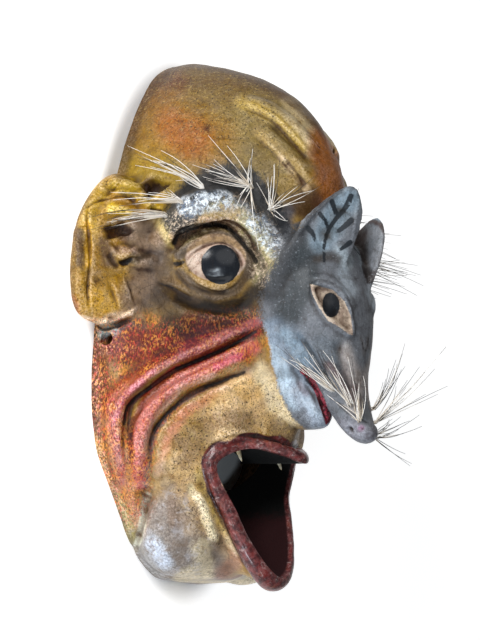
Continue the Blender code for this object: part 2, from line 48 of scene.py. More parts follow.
def report(stage):
    print(f"[{time.time() - startTime:6.1f} s] {stage}")


# Camera.

view = {
    "yaw": 57,  # degrees round the face's upright axis, from straight in front
    "tilt": -12,
    "distance": 1.3,
    "target": (-3.6, 2, 46),
    "drop": 4.2,  # mm that the picture's middle lies below the target
    "frameHeight": 0.383,  # metres that the picture's height covers at the target
}


def viewAxes():
    yaw, tilt = math.radians(view["yaw"]), math.radians(view["tilt"])
    right = Vector((math.cos(yaw), 0, math.sin(yaw)))
    back = Vector((-math.sin(yaw) * math.cos(tilt), math.sin(tilt), math.cos(yaw) * math.cos(tilt)))
    return right, back.cross(right), back


viewRight, viewUp, viewBack = viewAxes()
viewTarget = Vector(view["target"]) * mm - viewUp * view["drop"] * mm
viewPlace = viewTarget + viewBack * view["distance"]
pixelsPerSlope = 640 * view["distance"] / view["frameHeight"]


def addCamera():
    data = bpy.data.cameras.new("camera")
    data.sensor_width = 36
    data.lens = 36 * view["distance"] / view["frameHeight"]
    camera = bpy.data.objects.new("camera", data)
    place = Matrix((viewRight, viewUp, viewBack)).transposed().to_4x4()
    place.translation = viewPlace
    camera.matrix_world = place
    bpy.context.scene.collection.objects.link(camera)
    bpy.context.scene.camera = camera


def pixelRay(x, y):
    # The direction from the camera through a pixel of the photograph.
    return (
        viewRight * ((x - 240) / pixelsPerSlope) + viewUp * ((320 - y) / pixelsPerSlope) - viewBack
    ).normalized()


def pixelsOf(places):
    # Where places in metres lie in the photograph, in pixels.
    away = places - np.array(viewPlace)
    depth = -(away @ np.array(viewBack))
    across = 240 + away @ np.array(viewRight) / depth * pixelsPerSlope
    down = 320 - away @ np.array(viewUp) / depth * pixelsPerSlope
    return np.stack([across, down], axis=1)


addCamera()
report("camera set")

# The carving's forms.

carving = {
    "voxel": 1.1,
    "broadRounds": 84,
    "foxRounds": 26,
    "skinRounds": 9,
    "skinTriangles": 165000,
    "wall": 12,
    "rimBand": 12,
    "tieHoleDiameter": 8,
    "browHoleDiameter": 2.6,
    "whiskerHoleDiameter": 1.9,
    "handTremble": 0.28,  # how far the knife wandered off the smooth form
}

# Down the face: height, half width at the rim, depth on the centre line, fullness of the section.
faceStations = [
    (164, 8, 14, 2.0), (158, 20, 34, 2.0), (148, 31.5, 58, 1.95), (134, 42, 80, 1.9), (116, 52, 96, 1.9),
    (96, 61, 106, 1.85), (76, 68, 113, 1.75), (54, 74, 112, 1.55), (28, 80, 104, 1.4), (0, 85, 96, 1.3),
    (-28, 88, 88, 1.25), (-52, 89, 85, 1.2), (-74, 87, 82, 1.2), (-90, 82, 72, 1.3), (-106, 71, 62, 1.45),
    (-122, 60.5, 57, 1.55), (-138, 49, 53, 1.7), (-150, 35, 45, 1.9), (-156, 23, 34, 2.0),
]
faceFloor = -8
hollowTop, hollowBottom = 152, -102

# Down the fox's head and down its lower jaw: height, half width, back, widest depth and front.
foxStations = [
    (46, 18, 80, 96, 108), (38, 28, 70, 94, 118), (26, 33, 62, 90, 124), (10, 35.5, 60, 88, 128),
    (-6, 35, 60, 88, 130), (-20, 32, 60, 90, 130), (-32, 27, 66, 94, 129), (-43, 21, 88, 106, 128),
    (-55, 16.5, 102, 114, 129), (-65, 13, 109, 119, 131), (-73, 10.5, 114, 124, 134),
    (-79, 7.5, 119, 128, 136),
    (-83, 3.5, 125, 130, 134),
]
foxJawStations = [
    (-14, 28, 58, 80, 94), (-34, 24, 60, 83, 98), (-50, 18, 64, 86, 101), (-60, 14, 69, 89, 104),
    (-67, 10, 76, 93, 105), (-72, 5, 86, 96, 103),
]
# Each ear of the fox: the outer and inner ends of its root, and its tip.
foxEars = [((-42, 16, 88), (-13, 20, 125), (-26, 63, 136)), ((40, 25, 80), (9, 11, 129), (20, 55, 128))]
foxEarThickness = 7
farLidSink = (-2.4, 0, -2.0)
foxLids = [(-32, 5, 114), (-25, 5, 122), (-17, -4, 128), (-13, -21, 129), (-21, -18, 124), (-29, -8, 117)]
# The right side of the line where the fox's head runs into the face. The crease there is rubbed full.
foxEdge = {
    "line": [
        (-30, 34, 96), (-37, 22, 86), (-39, 8, 80), (-38, -8, 76), (-34, -22, 75), (-28, -38, 76),
        (-22, -52, 77), (-16, -62, 80),
    ],
    "reach": 17,
    "rounds": 260,
}

mouth = {
    # The lips' line, from the middle of the upper lip round the right corner to the middle of the lower one.
    "line": [
        (0, -89, 84), (-13, -85, 76), (-28, -82, 62), (-41, -91, 51), (-37.5, -105, 50),
        (-31, -121, 56), (-24, -138, 61), (-13.5, -152, 65), (0, -158, 66),
    ],
    "radii": [5.5, 5.2, 4.6, 4.2, 4.2, 4.2, 4.8, 6, 7],
    "middle": (0, -116),
    "back": 6,
    "grow": -2.5,
    "depths": (-0.5, 0.0, 0.17, 0.35, 0.52, 0.7, 0.92, 1.15, 1.5),
    "scoopDepths": (0.0, 0.3, 0.6, 0.9),
}

eye = {
    "middle": (-53, 23, 61),
    "turn": 50,
    "halfSizes": (20.5, 15.5),
    "ballRadii": (24, 19, 13),
    "ballSink": 6,
    "lidRadius": 3.4,
    "irisMiddle": (220.5, 264.5),  # pixels
    "irisRadius": 19.5,
}

ear = {
    "outline": [
        (-62, 73), (-79, 70), (-92, 61), (-102, 45), (-108, 22), (-109, -2), (-103, -12), (-88, -13),
        (-62, -8),
    ],
    "rim": [
        (-68, 72, 12), (-80, 70, 9), (-90, 62, 7), (-100, 48, 5), (-106, 30, 4), (-108, 8, 4), (-104, -8, 6),
        (-92, -13, 12),
    ],
    "rimRadii": [4, 6, 6, 5.5, 5, 5, 5.5, 5],
    "thickness": 9,
    "innerDepth": 34,
    "outerDepth": 5,
    "tieHole": (-24, 9),
}

brow = [
    (-71, 30, 32), (-70, 43, 44), (-64, 51, 55), (-55, 54, 62), (-45, 51, 69), (-37, 42, 75), (-31, 28, 80),
]
browRadii = [6, 10, 12, 12.5, 12, 11, 9]

# Strokes of the carver's tools on the right side: points on the skin, reach to each side and height.
# A height below 0 cuts in. Each is made on both sides of the face.
strokes = {
    "upperCheekFold": (
        [(-30, -10, 76), (-46, -22, 61), (-62, -33, 44), (-77, -48, 28), (-84, -64, 15), (-72, -106, 12)],
        8, 4.0),
    "lowerCheekFold": (
        [(-30, -27, 72), (-48, -40, 56), (-63, -50, 41), (-73, -64, 30), (-75, -84, 23), (-69, -106, 21)],
        8, 3.6),
    "upperCheekGroove": (
        [(-29, -16, 75), (-40, -25, 65), (-54, -35, 52), (-69, -46, 36), (-79, -62, 22), (-79, -84, 17)], 4,
        -2.8),
    "lowerCheekGroove": (
        [(-28, -38, 71), (-43, -47, 58), (-55, -54, 48), (-63, -64, 39), (-69, -77, 30), (-68, -92, 27)],
        4.2, -2.8),
    "valleyBehindJowl": ([(-66, -106, 24), (-63, -120, 18), (-58, -131, 12), (-50, -141, 6)], 8, -3.5),
    "jowlRidge": ([(-48, -106, 44), (-42, -117, 46), (-36, -128, 47), (-30, -140, 47)], 9, 2.0),
    "outerForeheadRidge": ([(-32, 124, 65), (-24, 115, 82), (-17, 100, 94), (-10, 88, 103)], 8, 2.6),
    "innerForeheadRidge": ([(-34, 102, 79), (-27, 86, 93), (-19, 72, 102)], 7, 2.2),
    "foreheadFurrow": ([(-29, 108, 81), (-23, 94, 92), (-15, 80, 102)], 5, -1.6),
    "templeFurrow": ([(-29, 82, 91), (-24, 75, 97), (-19, 66, 101)], 4.5, -2.2),
    "creaseOverEye": (
        [
            (-68, 29, 40), (-66, 36, 46), (-60, 42, 55), (-52, 45, 66), (-45, 41, 74), (-39, 31, 79),
            (-36, 20, 83),
        ],
        4.5, -5.5),
    "creaseUnderEye": ([(-71, 9, 36), (-63, 0, 46), (-53, -5, 57), (-42, -6, 68), (-35, 0, 78)], 6, -2.6),
    "grooveInsideEarRim": ([(-96, 58, 12), (-100, 42, 9), (-101, 18, 9), (-98, -4, 12)], 4.5, -2.0),
    "notchBehindTemple": ([(-68, 70, 18), (-66, 62, 28)], 11, -6.5),
    "earUpperHollow": ([(-91, 43, 16), (-88, 34, 18)], 12, -6.0),
    "earHole": ([(-83, 21, 19)], 6, -8.0),
    "earMiddleRidge": ([(-90, 27, 15), (-80, 22, 24), (-70, 21, 34)], 6, 3.5),
    "earUpperRidge": ([(-92, 66, 10), (-84, 68, 14), (-77, 58, 24), (-74, 50, 33)], 7, 4.0),
    "earLobe": ([(-94, -1, 18), (-84, 3, 22)], 12, 2.5),
    "foxMouth": ([(-21, -36, 100), (-17, -45, 102), (-14, -55, 106), (-10, -64, 109)], 4, -4.0),
    "foxBrow": ([(-31, 9, 110), (-25, 9, 120), (-17, 2, 127), (-10, -8, 130)], 4, 1.6),
    "hollowOfFoxEar": ([(-27, 30, 117), (-26, 42, 126), (-25, 52, 132)], 9, -2.2),
    "foxNostril": ([(-8, -76, 124)], 3.2, -3.0),
    "sideOfMuzzle": ([(-20, -24, 124), (-15, -42, 124), (-10, -58, 127)], 5, -1.4),
}

# Finer strokes, found by pixels of the photograph: points, reach in mm and height.
fineStrokes = {
    "foldEdge": (
        [
            (252, 333), (233, 345), (201, 360), (176, 369), (151, 387), (131, 402), (125, 416), (123, 452),
            (131, 480),
        ],
        1.8, -0.7,
    ),
    "foldCrest": (
        [(250, 326), (225, 339), (185, 355), (147, 377), (120, 404), (116, 425), (124, 470)], 3.2, 0.9,
    ),
    "bandEdge": (
        [(250, 369), (220, 382), (195, 392), (173, 408), (159, 423), (151, 439), (149, 459)], 2.2, -0.5,
    ),
    "bandCrest": ([(248, 358), (212, 372), (180, 386), (156, 408), (143, 436), (140, 470)], 3.2, 0.7),
    "bandChannel": ([(240, 352), (205, 366), (172, 384), (142, 408), (132, 430), (131, 470)], 2.6, -0.8),
    "lidCrease": (
        [
            (175, 241), (180, 232), (190, 228), (204, 225), (217, 224), (228, 227), (237, 234), (245, 243),
            (251, 252), (256, 260),
        ],
        2.3, -2.0,
    ),
    "browLowerEdge": ([(172, 236), (180, 226), (205, 219), (228, 222), (243, 234), (257, 252)], 2.6, 0.7),
    "upperLidFold": (
        [(170, 257), (188, 247), (205, 238), (222, 236), (238, 243), (246, 256), (249, 272)], 2.8, 1.3,
    ),
    "upperLidInside": (
        [(186, 261), (194, 252), (206, 245), (221, 242), (234, 248), (241, 260), (243, 274)], 1.6, -1.3,
    ),
    "outerEyeCorner": ([(174, 264), (182, 263)], 3.0, -2.4),
    "lowerLidInside": ([(184, 270), (193, 281), (204, 288), (218, 291), (232, 288), (241, 279)], 1.4, -0.8),
    "lowerLidLine": ([(182, 276), (194, 288), (210, 297), (232, 296), (247, 285)], 2.2, 0.5),
    "creaseBelowLid": ([(156, 282), (168, 286), (182, 294), (194, 301)], 2.4, -0.8),
    "cheekUnderEye": ([(170, 308), (200, 317), (235, 315), (256, 303)], 5.0, 0.7),
    "earRimGroove": ([(88, 196), (87, 215), (89, 235), (90, 262), (88, 290), (90, 312)], 1.8, -1.3),
    "earRimLump": ([(78, 215), (76, 240), (77, 258)], 4.0, 0.9),
    "earScarTop": ([(84, 208), (98, 201), (120, 196)], 1.6, -0.9),
    "earTopLump": ([(99, 188), (104, 186)], 4.5, 1.3),
    "earTopFold": ([(112, 184), (126, 183), (140, 190), (148, 201)], 4.0, 1.7),
    "earTopFoldBelow": ([(110, 195), (126, 196), (138, 203)], 3.0, -1.5),
    "earInnerFold": ([(104, 213), (120, 210), (134, 212), (148, 213)], 4.5, 1.7),
    "earNotch": ([(143, 184), (153, 183), (158, 192)], 5.5, -1.2),
    "earNotchLow": ([(150, 210), (161, 212)], 3.5, -2.2),
    "earHollowEdge": ([(110, 228), (118, 222), (130, 223), (136, 230)], 2.6, 0.9),
    "earHollowDeep": ([(117, 229), (126, 232), (128, 239)], 4.6, -1.0),
    "earTragus": ([(108, 243), (114, 252), (122, 257), (132, 252), (139, 246)], 2.6, 1.6),
    "earPit": ([(119, 264), (126, 262), (134, 257), (146, 257)], 2.6, -1.8),
    "earUnderRidge": ([(108, 252), (113, 262), (120, 268)], 3.0, -1.2),
    "earLobeFold": ([(96, 322), (112, 320), (128, 314), (140, 306)], 2.6, 1.4),
    "earLobeUnder": ([(95, 327), (115, 326), (135, 318)], 2.4, -1.3),
    "earLowDent": ([(100, 277), (94, 283)], 4.0, -0.7),
    "jawValley": ([(147, 497), (143, 520), (137, 540), (131, 556)], 4.0, -1.1),
    "jowlDent": ([(172, 518), (180, 545), (186, 565)], 9.0, -1.0),
    "jowlCrest": ([(190, 482), (200, 500), (208, 520), (216, 545), (224, 562)], 5.0, 1.0),
    "lipEdgeAbove": (
        [(204, 458), (213, 445), (230, 437), (250, 435), (270, 439), (292, 449), (303, 457)], 1.9, -0.9,
    ),
    "lipEdgeBeside": ([(203, 466), (208, 485), (217, 510), (227, 532), (237, 553), (247, 572)], 1.9, -0.8),
    "lipGroove": ([(216, 450), (235, 443), (255, 442), (275, 448), (292, 457)], 1.4, -0.4),
    "foreheadEdgeHigh": ([(238, 96), (256, 103), (276, 113), (290, 126), (306, 144), (317, 158)], 2.2, -0.6),
    "foreheadEdgeLow": ([(240, 106), (256, 113), (274, 122), (287, 136), (301, 152), (311, 164)], 2.2, -0.6),
    "foreheadRidgeLow": ([(262, 137), (276, 150), (290, 166), (301, 180)], 2.6, 0.8),
    "foreheadCut": ([(284, 158), (296, 172), (306, 186)], 1.6, -0.8),
    "foreheadChip": ([(333, 137), (336, 146), (334, 154)], 1.8, -1.8),
    "foreheadScar": ([(212, 138), (232, 139), (250, 141)], 1.2, -0.3),
    "foxEyeFlat": ([(322, 294), (331, 305), (340, 318)], 4.5, -1.0),
    "foxLipUpper": ([(303, 368), (313, 375), (322, 388), (329, 405), (333, 421)], 2.0, 0.9),
    "foxLipLine": ([(302, 374), (310, 383), (318, 396), (324, 412), (328, 424)], 1.5, -1.6),
    "foxLipLower": ([(299, 376), (305, 390), (313, 405), (320, 420)], 2.6, 0.9),
    "foxCheekEdge": ([(299, 336), (310, 350), (320, 366), (330, 384)], 2.8, -1.1),
    "foxCheekLobe": ([(284, 330), (292, 350), (303, 366)], 6.0, 1.2),
    "foxWhiskerPad": ([(336, 372), (345, 392), (354, 410)], 5.0, 0.9),
    "foxNoseLine": ([(334, 399), (348, 410), (362, 419), (371, 424)], 1.6, -0.8),
    "foxNostrilRing": ([(355, 427), (360, 424)], 2.4, 0.7),
    "foxEarEdge": ([(300, 232), (312, 216), (326, 203), (342, 192), (351, 189)], 1.8, 0.7),
    "foxEarEdgeFar": ([(353, 240), (355, 222), (358, 206), (359, 196)], 1.8, 0.7),
}


def smoothBetween(stations, at):
    # The stations' values at a place between them, on smooth curves. Their first column is the place.
    table = np.array(sorted(stations), float)
    places, values = table[:, 0], table[:, 1:]
    slopes = np.gradient(values, places, axis=0)
    i = int(np.clip(np.searchsorted(places, at) - 1, 0, len(places) - 2))
    span = places[i + 1] - places[i]
    t = (at - places[i]) / span
    start = (2 * t**3 - 3 * t**2 + 1) * values[i] + (t**3 - 2 * t**2 + t) * span * slopes[i]
    end = (3 * t**2 - 2 * t**3) * values[i + 1] + (t**3 - t**2) * span * slopes[i + 1]
    return start + end


def spline(points, count, closed=False):
    # The given number of points on a smooth curve through the points.
    p = np.array(points, float)
    n = len(p)
    spans = n if closed else n - 1
    made = []
    for s in np.linspace(0, spans, count, endpoint=not closed):
        i = min(int(s), spans - 1)
        t = s - i
        if closed:
            a, b, c, d = (p[(i + k) % n] for k in (-1, 0, 1, 2))
        else:
            b, c = p[i], p[i + 1]
            a = p[i - 1] if i else 2 * b - c
            d = p[i + 2] if i + 2 < n else 2 * c - b
        bend = (c - a) * t + (2 * a - 5 * b + 4 * c - d) * t**2 + (3 * b - a - 3 * c + d) * t**3
        made.append(b + bend / 2)
    return np.array(made)


def mirrored(points):
    return [(-x, y, z) for x, y, z in points]


def newObject(name, mesh):
    obj = bpy.data.objects.new(name, mesh)
    bpy.context.scene.collection.objects.link(obj)
    return obj


def meshFrom(bm, name):
    bmesh.ops.recalc_face_normals(bm, faces=bm.faces[:])
    mesh = bpy.data.meshes.new(name)
    bm.to_mesh(mesh)
    bm.free()
    return mesh


def plainMesh(obj):
    # The object's mesh with its modifiers worked in. The object goes.
    bpy.context.view_layer.update()
    mesh = bpy.data.meshes.new_from_object(obj.evaluated_get(bpy.context.evaluated_depsgraph_get()))
    bpy.data.objects.remove(obj)
    return mesh


def loft(name, rings):
    # A closed body through rings of points in mm, which all have the same count.
    bm = bmesh.new()
    made = [[bm.verts.new(Vector(p) * mm) for p in ring] for ring in rings]
    count = len(made[0])
    for low, high in zip(made, made[1:]):
        for i in range(count):
            j = (i + 1) % count
            bm.faces.new((low[i], low[j], high[j], high[i]))
    bm.faces.new(made[0][::-1])
    bm.faces.new(made[-1])
    return meshFrom(bm, name)


def ellipsoid(name, centre, radii, turn=0):
    bm = bmesh.new()
    bmesh.ops.create_uvsphere(bm, u_segments=48, v_segments=32, radius=1)
    stretch = Matrix.Diagonal((*(Vector(radii) * mm), 1))
    place = Matrix.Translation(Vector(centre) * mm) @ Matrix.Rotation(math.radians(turn), 4, "Y")
    bmesh.ops.transform(bm, matrix=place @ stretch, verts=bm.verts[:])
    return meshFrom(bm, name)


def rod(name, points, radii, closed=False):
    # A round rod through the points, with a radius at each.
    dense = spline([(*p, r) for p, r in zip(points, radii)], 10 * len(points), closed)
    curve = bpy.data.curves.new(name, "CURVE")
    curve.dimensions = "3D"
    curve.bevel_depth = mm
    curve.bevel_resolution = 6
    curve.use_fill_caps = not closed
    line = curve.splines.new("POLY")
    line.points.add(len(dense) - 1)
    for point, (x, y, z, r) in zip(line.points, dense):
        point.co = (*(Vector((x, y, z)) * mm), 1)
        point.radius = r
    line.use_cyclic_u = closed
    mesh = plainMesh(newObject(name, curve))
    bm = bmesh.new()
    bm.from_mesh(mesh)
    bmesh.ops.remove_doubles(bm, verts=bm.verts[:], dist=1e-6)
    return meshFrom(bm, name)


def cylinders(name, ends, radius, sides):
    # Straight cylinders of one radius between pairs of places in metres, in one mesh.
    bm = bmesh.new()
    for start, end in ends:
        start, end = Vector(start), Vector(end)
        turned = (end - start).to_track_quat("Z", "Y").to_matrix().to_4x4()
        bmesh.ops.create_cone(
            bm, cap_ends=True, segments=sides, depth=(end - start).length, radius1=radius, radius2=radius,
            matrix=Matrix.Translation((start + end) / 2) @ turned)
    return meshFrom(bm, name)


def faceSection(y, inset, floor, count):
    halfWidth, depth, fullness = smoothBetween(faceStations, y)
    halfWidth = halfWidth - inset
    band = carving["rimBand"]
    ring = [(halfWidth, y, floor)]
    for k in range(count + 1):
        angle = math.pi * k / count
        across = math.copysign(abs(math.cos(angle)) ** (2 / fullness), math.cos(angle))
        out = max(math.sin(angle), 0) ** (2 / fullness)
        ring.append((halfWidth * across, y, band + (depth - inset - band) * out))
    ring.append((-halfWidth, y, floor))
    return ring


def faceBody():
    heights = np.linspace(faceStations[0][0], faceStations[-1][0], 90)
    return loft("face", [faceSection(y, 0, faceFloor, 60) for y in heights])


def gougeMarks(u, v):
    # The shallow scoops that a gouge leaves, 0 at their middle and 1 at their edge.
    row = math.floor(u)
    shift = noise.noise(Vector((row * 3.7, 1.3, 0))) * 3
    cell = math.floor(v + shift)
    across = (u - row) * 2 - 1 + 0.35 * noise.noise(Vector((row, v * 0.6, 4)))
    along = (v + shift - cell) * 2 - 1
    return min(1.2, across * across * 0.8 + along**4 * 0.5 + 0.25 * noise.noise(Vector((u * 2, v * 2, 9))))


def hollowBody():
    # The hollow for the wearer's face, a wall's thickness inside the face and round at its ends.
    middle, half = (hollowTop + hollowBottom) / 2, (hollowTop - hollowBottom) / 2
    sections = []
    for i, share in enumerate(np.linspace(-1, 1, 110)):
        swell = (1 - min(abs(share), 0.995) ** 6) ** 0.4
        narrow = 0.6 + 0.4 * swell
        y = middle + share * half
        ring = []
        for k, (x, _, z) in enumerate(faceSection(y, carving["wall"], -4, 96)):
            scoop = 1 - 0.011 * gougeMarks(k * 96 / 98 / 7.5, y / 27) if z > 0 else 1
            ring.append((x * narrow * scoop, y, z if z < 0 else z * swell * scoop))
        sections.append(ring)
    return loft("hollow", sections)


def headSection(y, halfWidth, back, middle, front):
    count, power = 48, 2.25
    ring = []
    for k in range(count):
        angle = 2 * math.pi * k / count
        c, s = math.cos(angle), math.sin(angle)
        reach = front - middle if s > 0 else middle - back
        x = halfWidth * math.copysign(abs(c) ** (2 / power), c)
        ring.append((x, y, middle + reach * math.copysign(abs(s) ** (2 / power), s)))
    return ring


def foxEar(name, outer, inner, tip):
    # A leaf that stands on the line from outer to inner and ends in a rounded tip.
    outer, inner, tip = (np.array(p, float) for p in (outer, inner, tip))
    across = inner - outer
    middle = (outer + inner) / 2
    normal = np.cross(across, tip - middle)
    normal /= np.linalg.norm(normal)
    root = middle - 0.3 * (tip - middle)
    rings = []
    for t in np.linspace(0, 1, 24):
        centre = root + (tip - root) * t
        width = 0.5 * (1 - t**3) ** 0.75 + 0.04
        thick = foxEarThickness * (1 - 0.35 * t) / 2
        angles = np.linspace(0, 2 * math.pi, 28, endpoint=False)
        rings.append([centre + across * width * math.cos(a) + normal * thick * math.sin(a) for a in angles])
    return loft(name, rings)


def foxForms():
    forms = []
    for name, stations in (("foxHead", foxStations), ("foxJaw", foxJawStations)):
        heights = np.linspace(stations[0][0], stations[-1][0], 50)
        forms.append(loft(name, [headSection(y, *smoothBetween(stations, y)) for y in heights]))
    forms.append(ellipsoid("foxNose", (0, -77, 129), (9.5, 7, 7.5)))
    forms.extend(foxEar("foxEar", *corners) for corners in foxEars)
    return forms


def lipRing(count):
    return spline(mouth["line"] + mirrored(mouth["line"][-2:0:-1]), count, closed=True)


def mouthRings(grow, depths, count=80):
    # Rings of the mouth's passage, wider than the lips' line by grow. Depth 0 is at the lips, 1 at its back.
    middle, back = mouth["middle"], mouth["back"]
    rings = []
    for k in depths:
        ring = []
        for x, y, z in lipRing(count):
            out = np.array((x - middle[0], y - middle[1]))
            out = out * (1 + grow / np.linalg.norm(out))
            rise = 1 + 0.25 * k if out[1] > 0 else 1 - 0.45 * k
            across = middle[0] + out[0] * (1 - 0.25 * k)
            ring.append((across, middle[1] + out[1] * rise, z * (1 - k) + back * k))
        rings.append(ring)
    return rings


def lips():
    radii = mouth["radii"] + mouth["radii"][-2:0:-1]
    return rod("lips", mouth["line"] + mirrored(mouth["line"][-2:0:-1]), radii, closed=True)


def eyePoint(across, up, out):
    # A point by the right eye: along the face, up it and out of it from the middle of the eye.
    turn = math.radians(eye["turn"])
    x, y, z = eye["middle"]
    return (
        x + across * math.cos(turn) - out * math.sin(turn), y + up,
        z + across * math.sin(turn) + out * math.cos(turn))


def lidLine(count=10):
    points = []
    for angle in np.linspace(0, 2 * math.pi, count, endpoint=False):
        c, s = math.cos(angle), math.sin(angle)
        rise = s * (eye["halfSizes"][1] + (2 if s > 0 else 0))
        points.append(eyePoint(eye["halfSizes"][0] * c, rise, 2.5 - 3 * abs(c)))
    return points


def earPlate(side):
    outline = spline(ear["outline"], 60, closed=True)
    inner, outer = outline[:, 0].max(), outline[:, 0].min()
    rings = []
    for lift in (ear["thickness"] / 2, -ear["thickness"] / 2):
        ring = []
        for x, y in outline:
            share = (x - outer) / (inner - outer)
            depth = ear["outerDepth"] + (ear["innerDepth"] - ear["outerDepth"]) * share
            ring.append((side * x, y, depth + lift))
        rings.append(ring)
    return loft("ear", rings)


def broadSideForms():
    forms = []
    for turned, side in ((list, 1), (mirrored, -1)):
        forms.append(rod("brow", turned(brow), browRadii))
        forms.append(ellipsoid("jowl", turned([(-34, -125, 23)])[0], (29, 32, 25)))
        forms.append(ellipsoid("upperLip", turned([(-28, -66, 50)])[0], (20, 28, 18)))
        forms.append(earPlate(side))
    return forms


def fineSideForms():
    forms = []
    for turned, side in ((list, 1), (mirrored, -1)):
        lids = lidLine()
        forms.append(rod("lids", turned(lids), [eye["lidRadius"]] * len(lids), closed=True))
        ball = turned([eyePoint(0, 0, -eye["ballSink"])])[0]
        forms.append(ellipsoid("eyeball", ball, eye["ballRadii"], side * -eye["turn"]))
        forms.append(rod("earRim", turned(ear["rim"]), ear["rimRadii"]))
        sink = Vector(farLidSink if side < 0 else (0, 0, 0))
        forms.append(
            rod(
                "foxLids", [tuple(Vector(p) + sink) for p in turned(foxLids)],
                [1.4] * len(foxLids), closed=True,
            )
        )
        radii = (5, 7, 5) if side == 1 else (4, 6, 3)
        forms.append(ellipsoid("foxEyeball", turned([(-21, -7, 118)])[0], radii))
    return forms


def fused(meshes, name, rounds):
    # One skin grown round overlapping bodies, then rubbed down for a number of rounds.
    bm = bmesh.new()
    for mesh in meshes:
        bm.from_mesh(mesh)
    obj = newObject(name, meshFrom(bm, name))
    remesh = obj.modifiers.new("fuse", "REMESH")
    remesh.mode = "VOXEL"
    remesh.voxel_size = carving["voxel"] * mm
    rub = obj.modifiers.new("rubDown", "SMOOTH")
    rub.factor = 0.5
    rub.iterations = rounds
    return plainMesh(obj)


def meshArrays(mesh):
    count = len(mesh.vertices)
    places, normals = np.empty(count * 3), np.empty(count * 3)
    mesh.vertices.foreach_get("co", places)
    mesh.vertices.foreach_get("normal", normals)
    return places.reshape(-1, 3), normals.reshape(-1, 3)


def skinTree(mesh):
    corners = np.empty(len(mesh.loops), np.int32)
    mesh.loops.foreach_get("vertex_index", corners)
    sizes = np.empty(len(mesh.polygons), np.int32)
    mesh.polygons.foreach_get("loop_total", sizes)
    groups = np.split(
        corners, np.cumsum(sizes)[:-1],
    ) if sizes.min() != sizes.max() else corners.reshape(-1, sizes[0])
    faces = groups.tolist() if isinstance(groups, np.ndarray) else [g.tolist() for g in groups]
    return BVHTree.FromPolygons(meshArrays(mesh)[0].tolist(), faces)


def nearLine(points, line):
    # Each point's distance to a line, and how far along the line that is. Works in the plane and in space.
    if len(line) == 1:
        return np.linalg.norm(points - line[0], axis=1), np.full(len(points), 0.5)
    best, share = np.full(len(points), np.inf), np.zeros(len(points))
    for i, (a, b) in enumerate(zip(line, line[1:])):
        along = b - a
        t = np.clip((points - a) @ along / max(along @ along, 1e-12), 0, 1)
        away = np.linalg.norm(points - a - t[:, None] * along, axis=1)
        closer = away < best
        best[closer], share[closer] = away[closer], (i + t[closer]) / (len(line) - 1)
    return best, share


def carve(mesh, tree, lines):
    # Moves the skin in or out along each stroke, most on its line and not at all at its reach.
    places, normals = meshArrays(mesh)
    moved = places.copy()
    for line, facing, reach, height in lines:
        margin = reach * mm
        inBox = np.all((places > line.min(axis=0) - margin) & (places < line.max(axis=0) + margin), axis=1)
        here = np.nonzero(inBox)[0]
        away, along = nearLine(places[here], line)
        away = away / margin
        near = (away < 1) & (normals[here] @ facing > 0)
        bell = (1 - away[near] ** 2) ** 2
        if len(line) > 4:
            bell *= np.clip(np.minimum(along[near], 1 - along[near]) / 0.18, 0.15, 1)
        here = here[near]
        moved[here] += normals[here] * (bell * height * mm)[:, None]
    mesh.vertices.foreach_set("co", moved.ravel())
    mesh.update()


def rubFull(mesh, points, reach, rounds):
    # Rubs the skin within reach of a line down to the mean of its neighbours, most on the line.
    places = meshArrays(mesh)[0]
    away, _ = nearLine(places, spline(points, 5 * len(points)) * mm)
    share = 0.6 * np.clip(1 - away / (reach * mm), 0, 1)
    ends = np.empty(len(mesh.edges) * 2, np.int32)
    mesh.edges.foreach_get("vertices", ends)
    a, b = ends.reshape(-1, 2).T
    near = (share[a] > 0) | (share[b] > 0)
    here, shifted = np.unique(np.concatenate([a[near], b[near]]), return_inverse=True)
    a, b = shifted[:near.sum()], shifted[near.sum():]
    count, spots, part = len(here), places[here], share[here][:, None]
    joined = np.maximum(np.bincount(a, minlength=count) + np.bincount(b, minlength=count), 1)[:, None]
    for _ in range(rounds):
        sums = [np.bincount(a, spots[b, k], count) + np.bincount(b, spots[a, k], count) for k in range(3)]
        spots = spots + part * (np.stack(sums, axis=1) / joined - spots)
    places[here] = spots
    mesh.vertices.foreach_set("co", places.ravel())
    mesh.update()


def strokeLines(tree):
    # The strokes laid on the skin, on both sides of the face.
    lines = []
    for points, reach, height in strokes.values():
        for turned in (list, mirrored):
            dense = turned(points) if len(points) == 1 else spline(turned(points), 5 * len(points))
            found = [tree.find_nearest(Vector(p) * mm) for p in dense]
            line = np.array([hit[0] for hit in found])
            lines.append((line, np.mean([hit[1] for hit in found], axis=0), reach, height))
    return lines


def fineStrokeLines(tree):
    lines = []
    for points, reach, height in fineStrokes.values():
        found = [tree.ray_cast(viewPlace, pixelRay(x, y)) for x, y in spline(points, 5 * len(points))]
        found = [hit for hit in found if hit[0] is not None]
        if len(found) < 2:
            print("a fine stroke misses the skin:", points[0])
            continue
        line = np.array([hit[0] for hit in found])
        facing = np.mean([hit[1] for hit in found], axis=0)
        lines.append((line, facing, reach, height))
        lines.append((line * (-1, 1, 1), facing * (-1, 1, 1), reach, height))
    return lines


def tremble(mesh):
    # Small unevenness of hand carving, as flat facets and dips a few mm wide.
    places, normals = meshArrays(mesh)
    rise = np.array([
        noise.noise(Vector(p) * 85) + 0.5 * noise.noise(
            Vector(p) * 210 + Vector((7, 3, 5))
        ) for p in places.tolist()])
    moved = places + normals * (rise * carving["handTremble"] * mm)[:, None]
    mesh.vertices.foreach_set("co", moved.ravel())
    mesh.update()


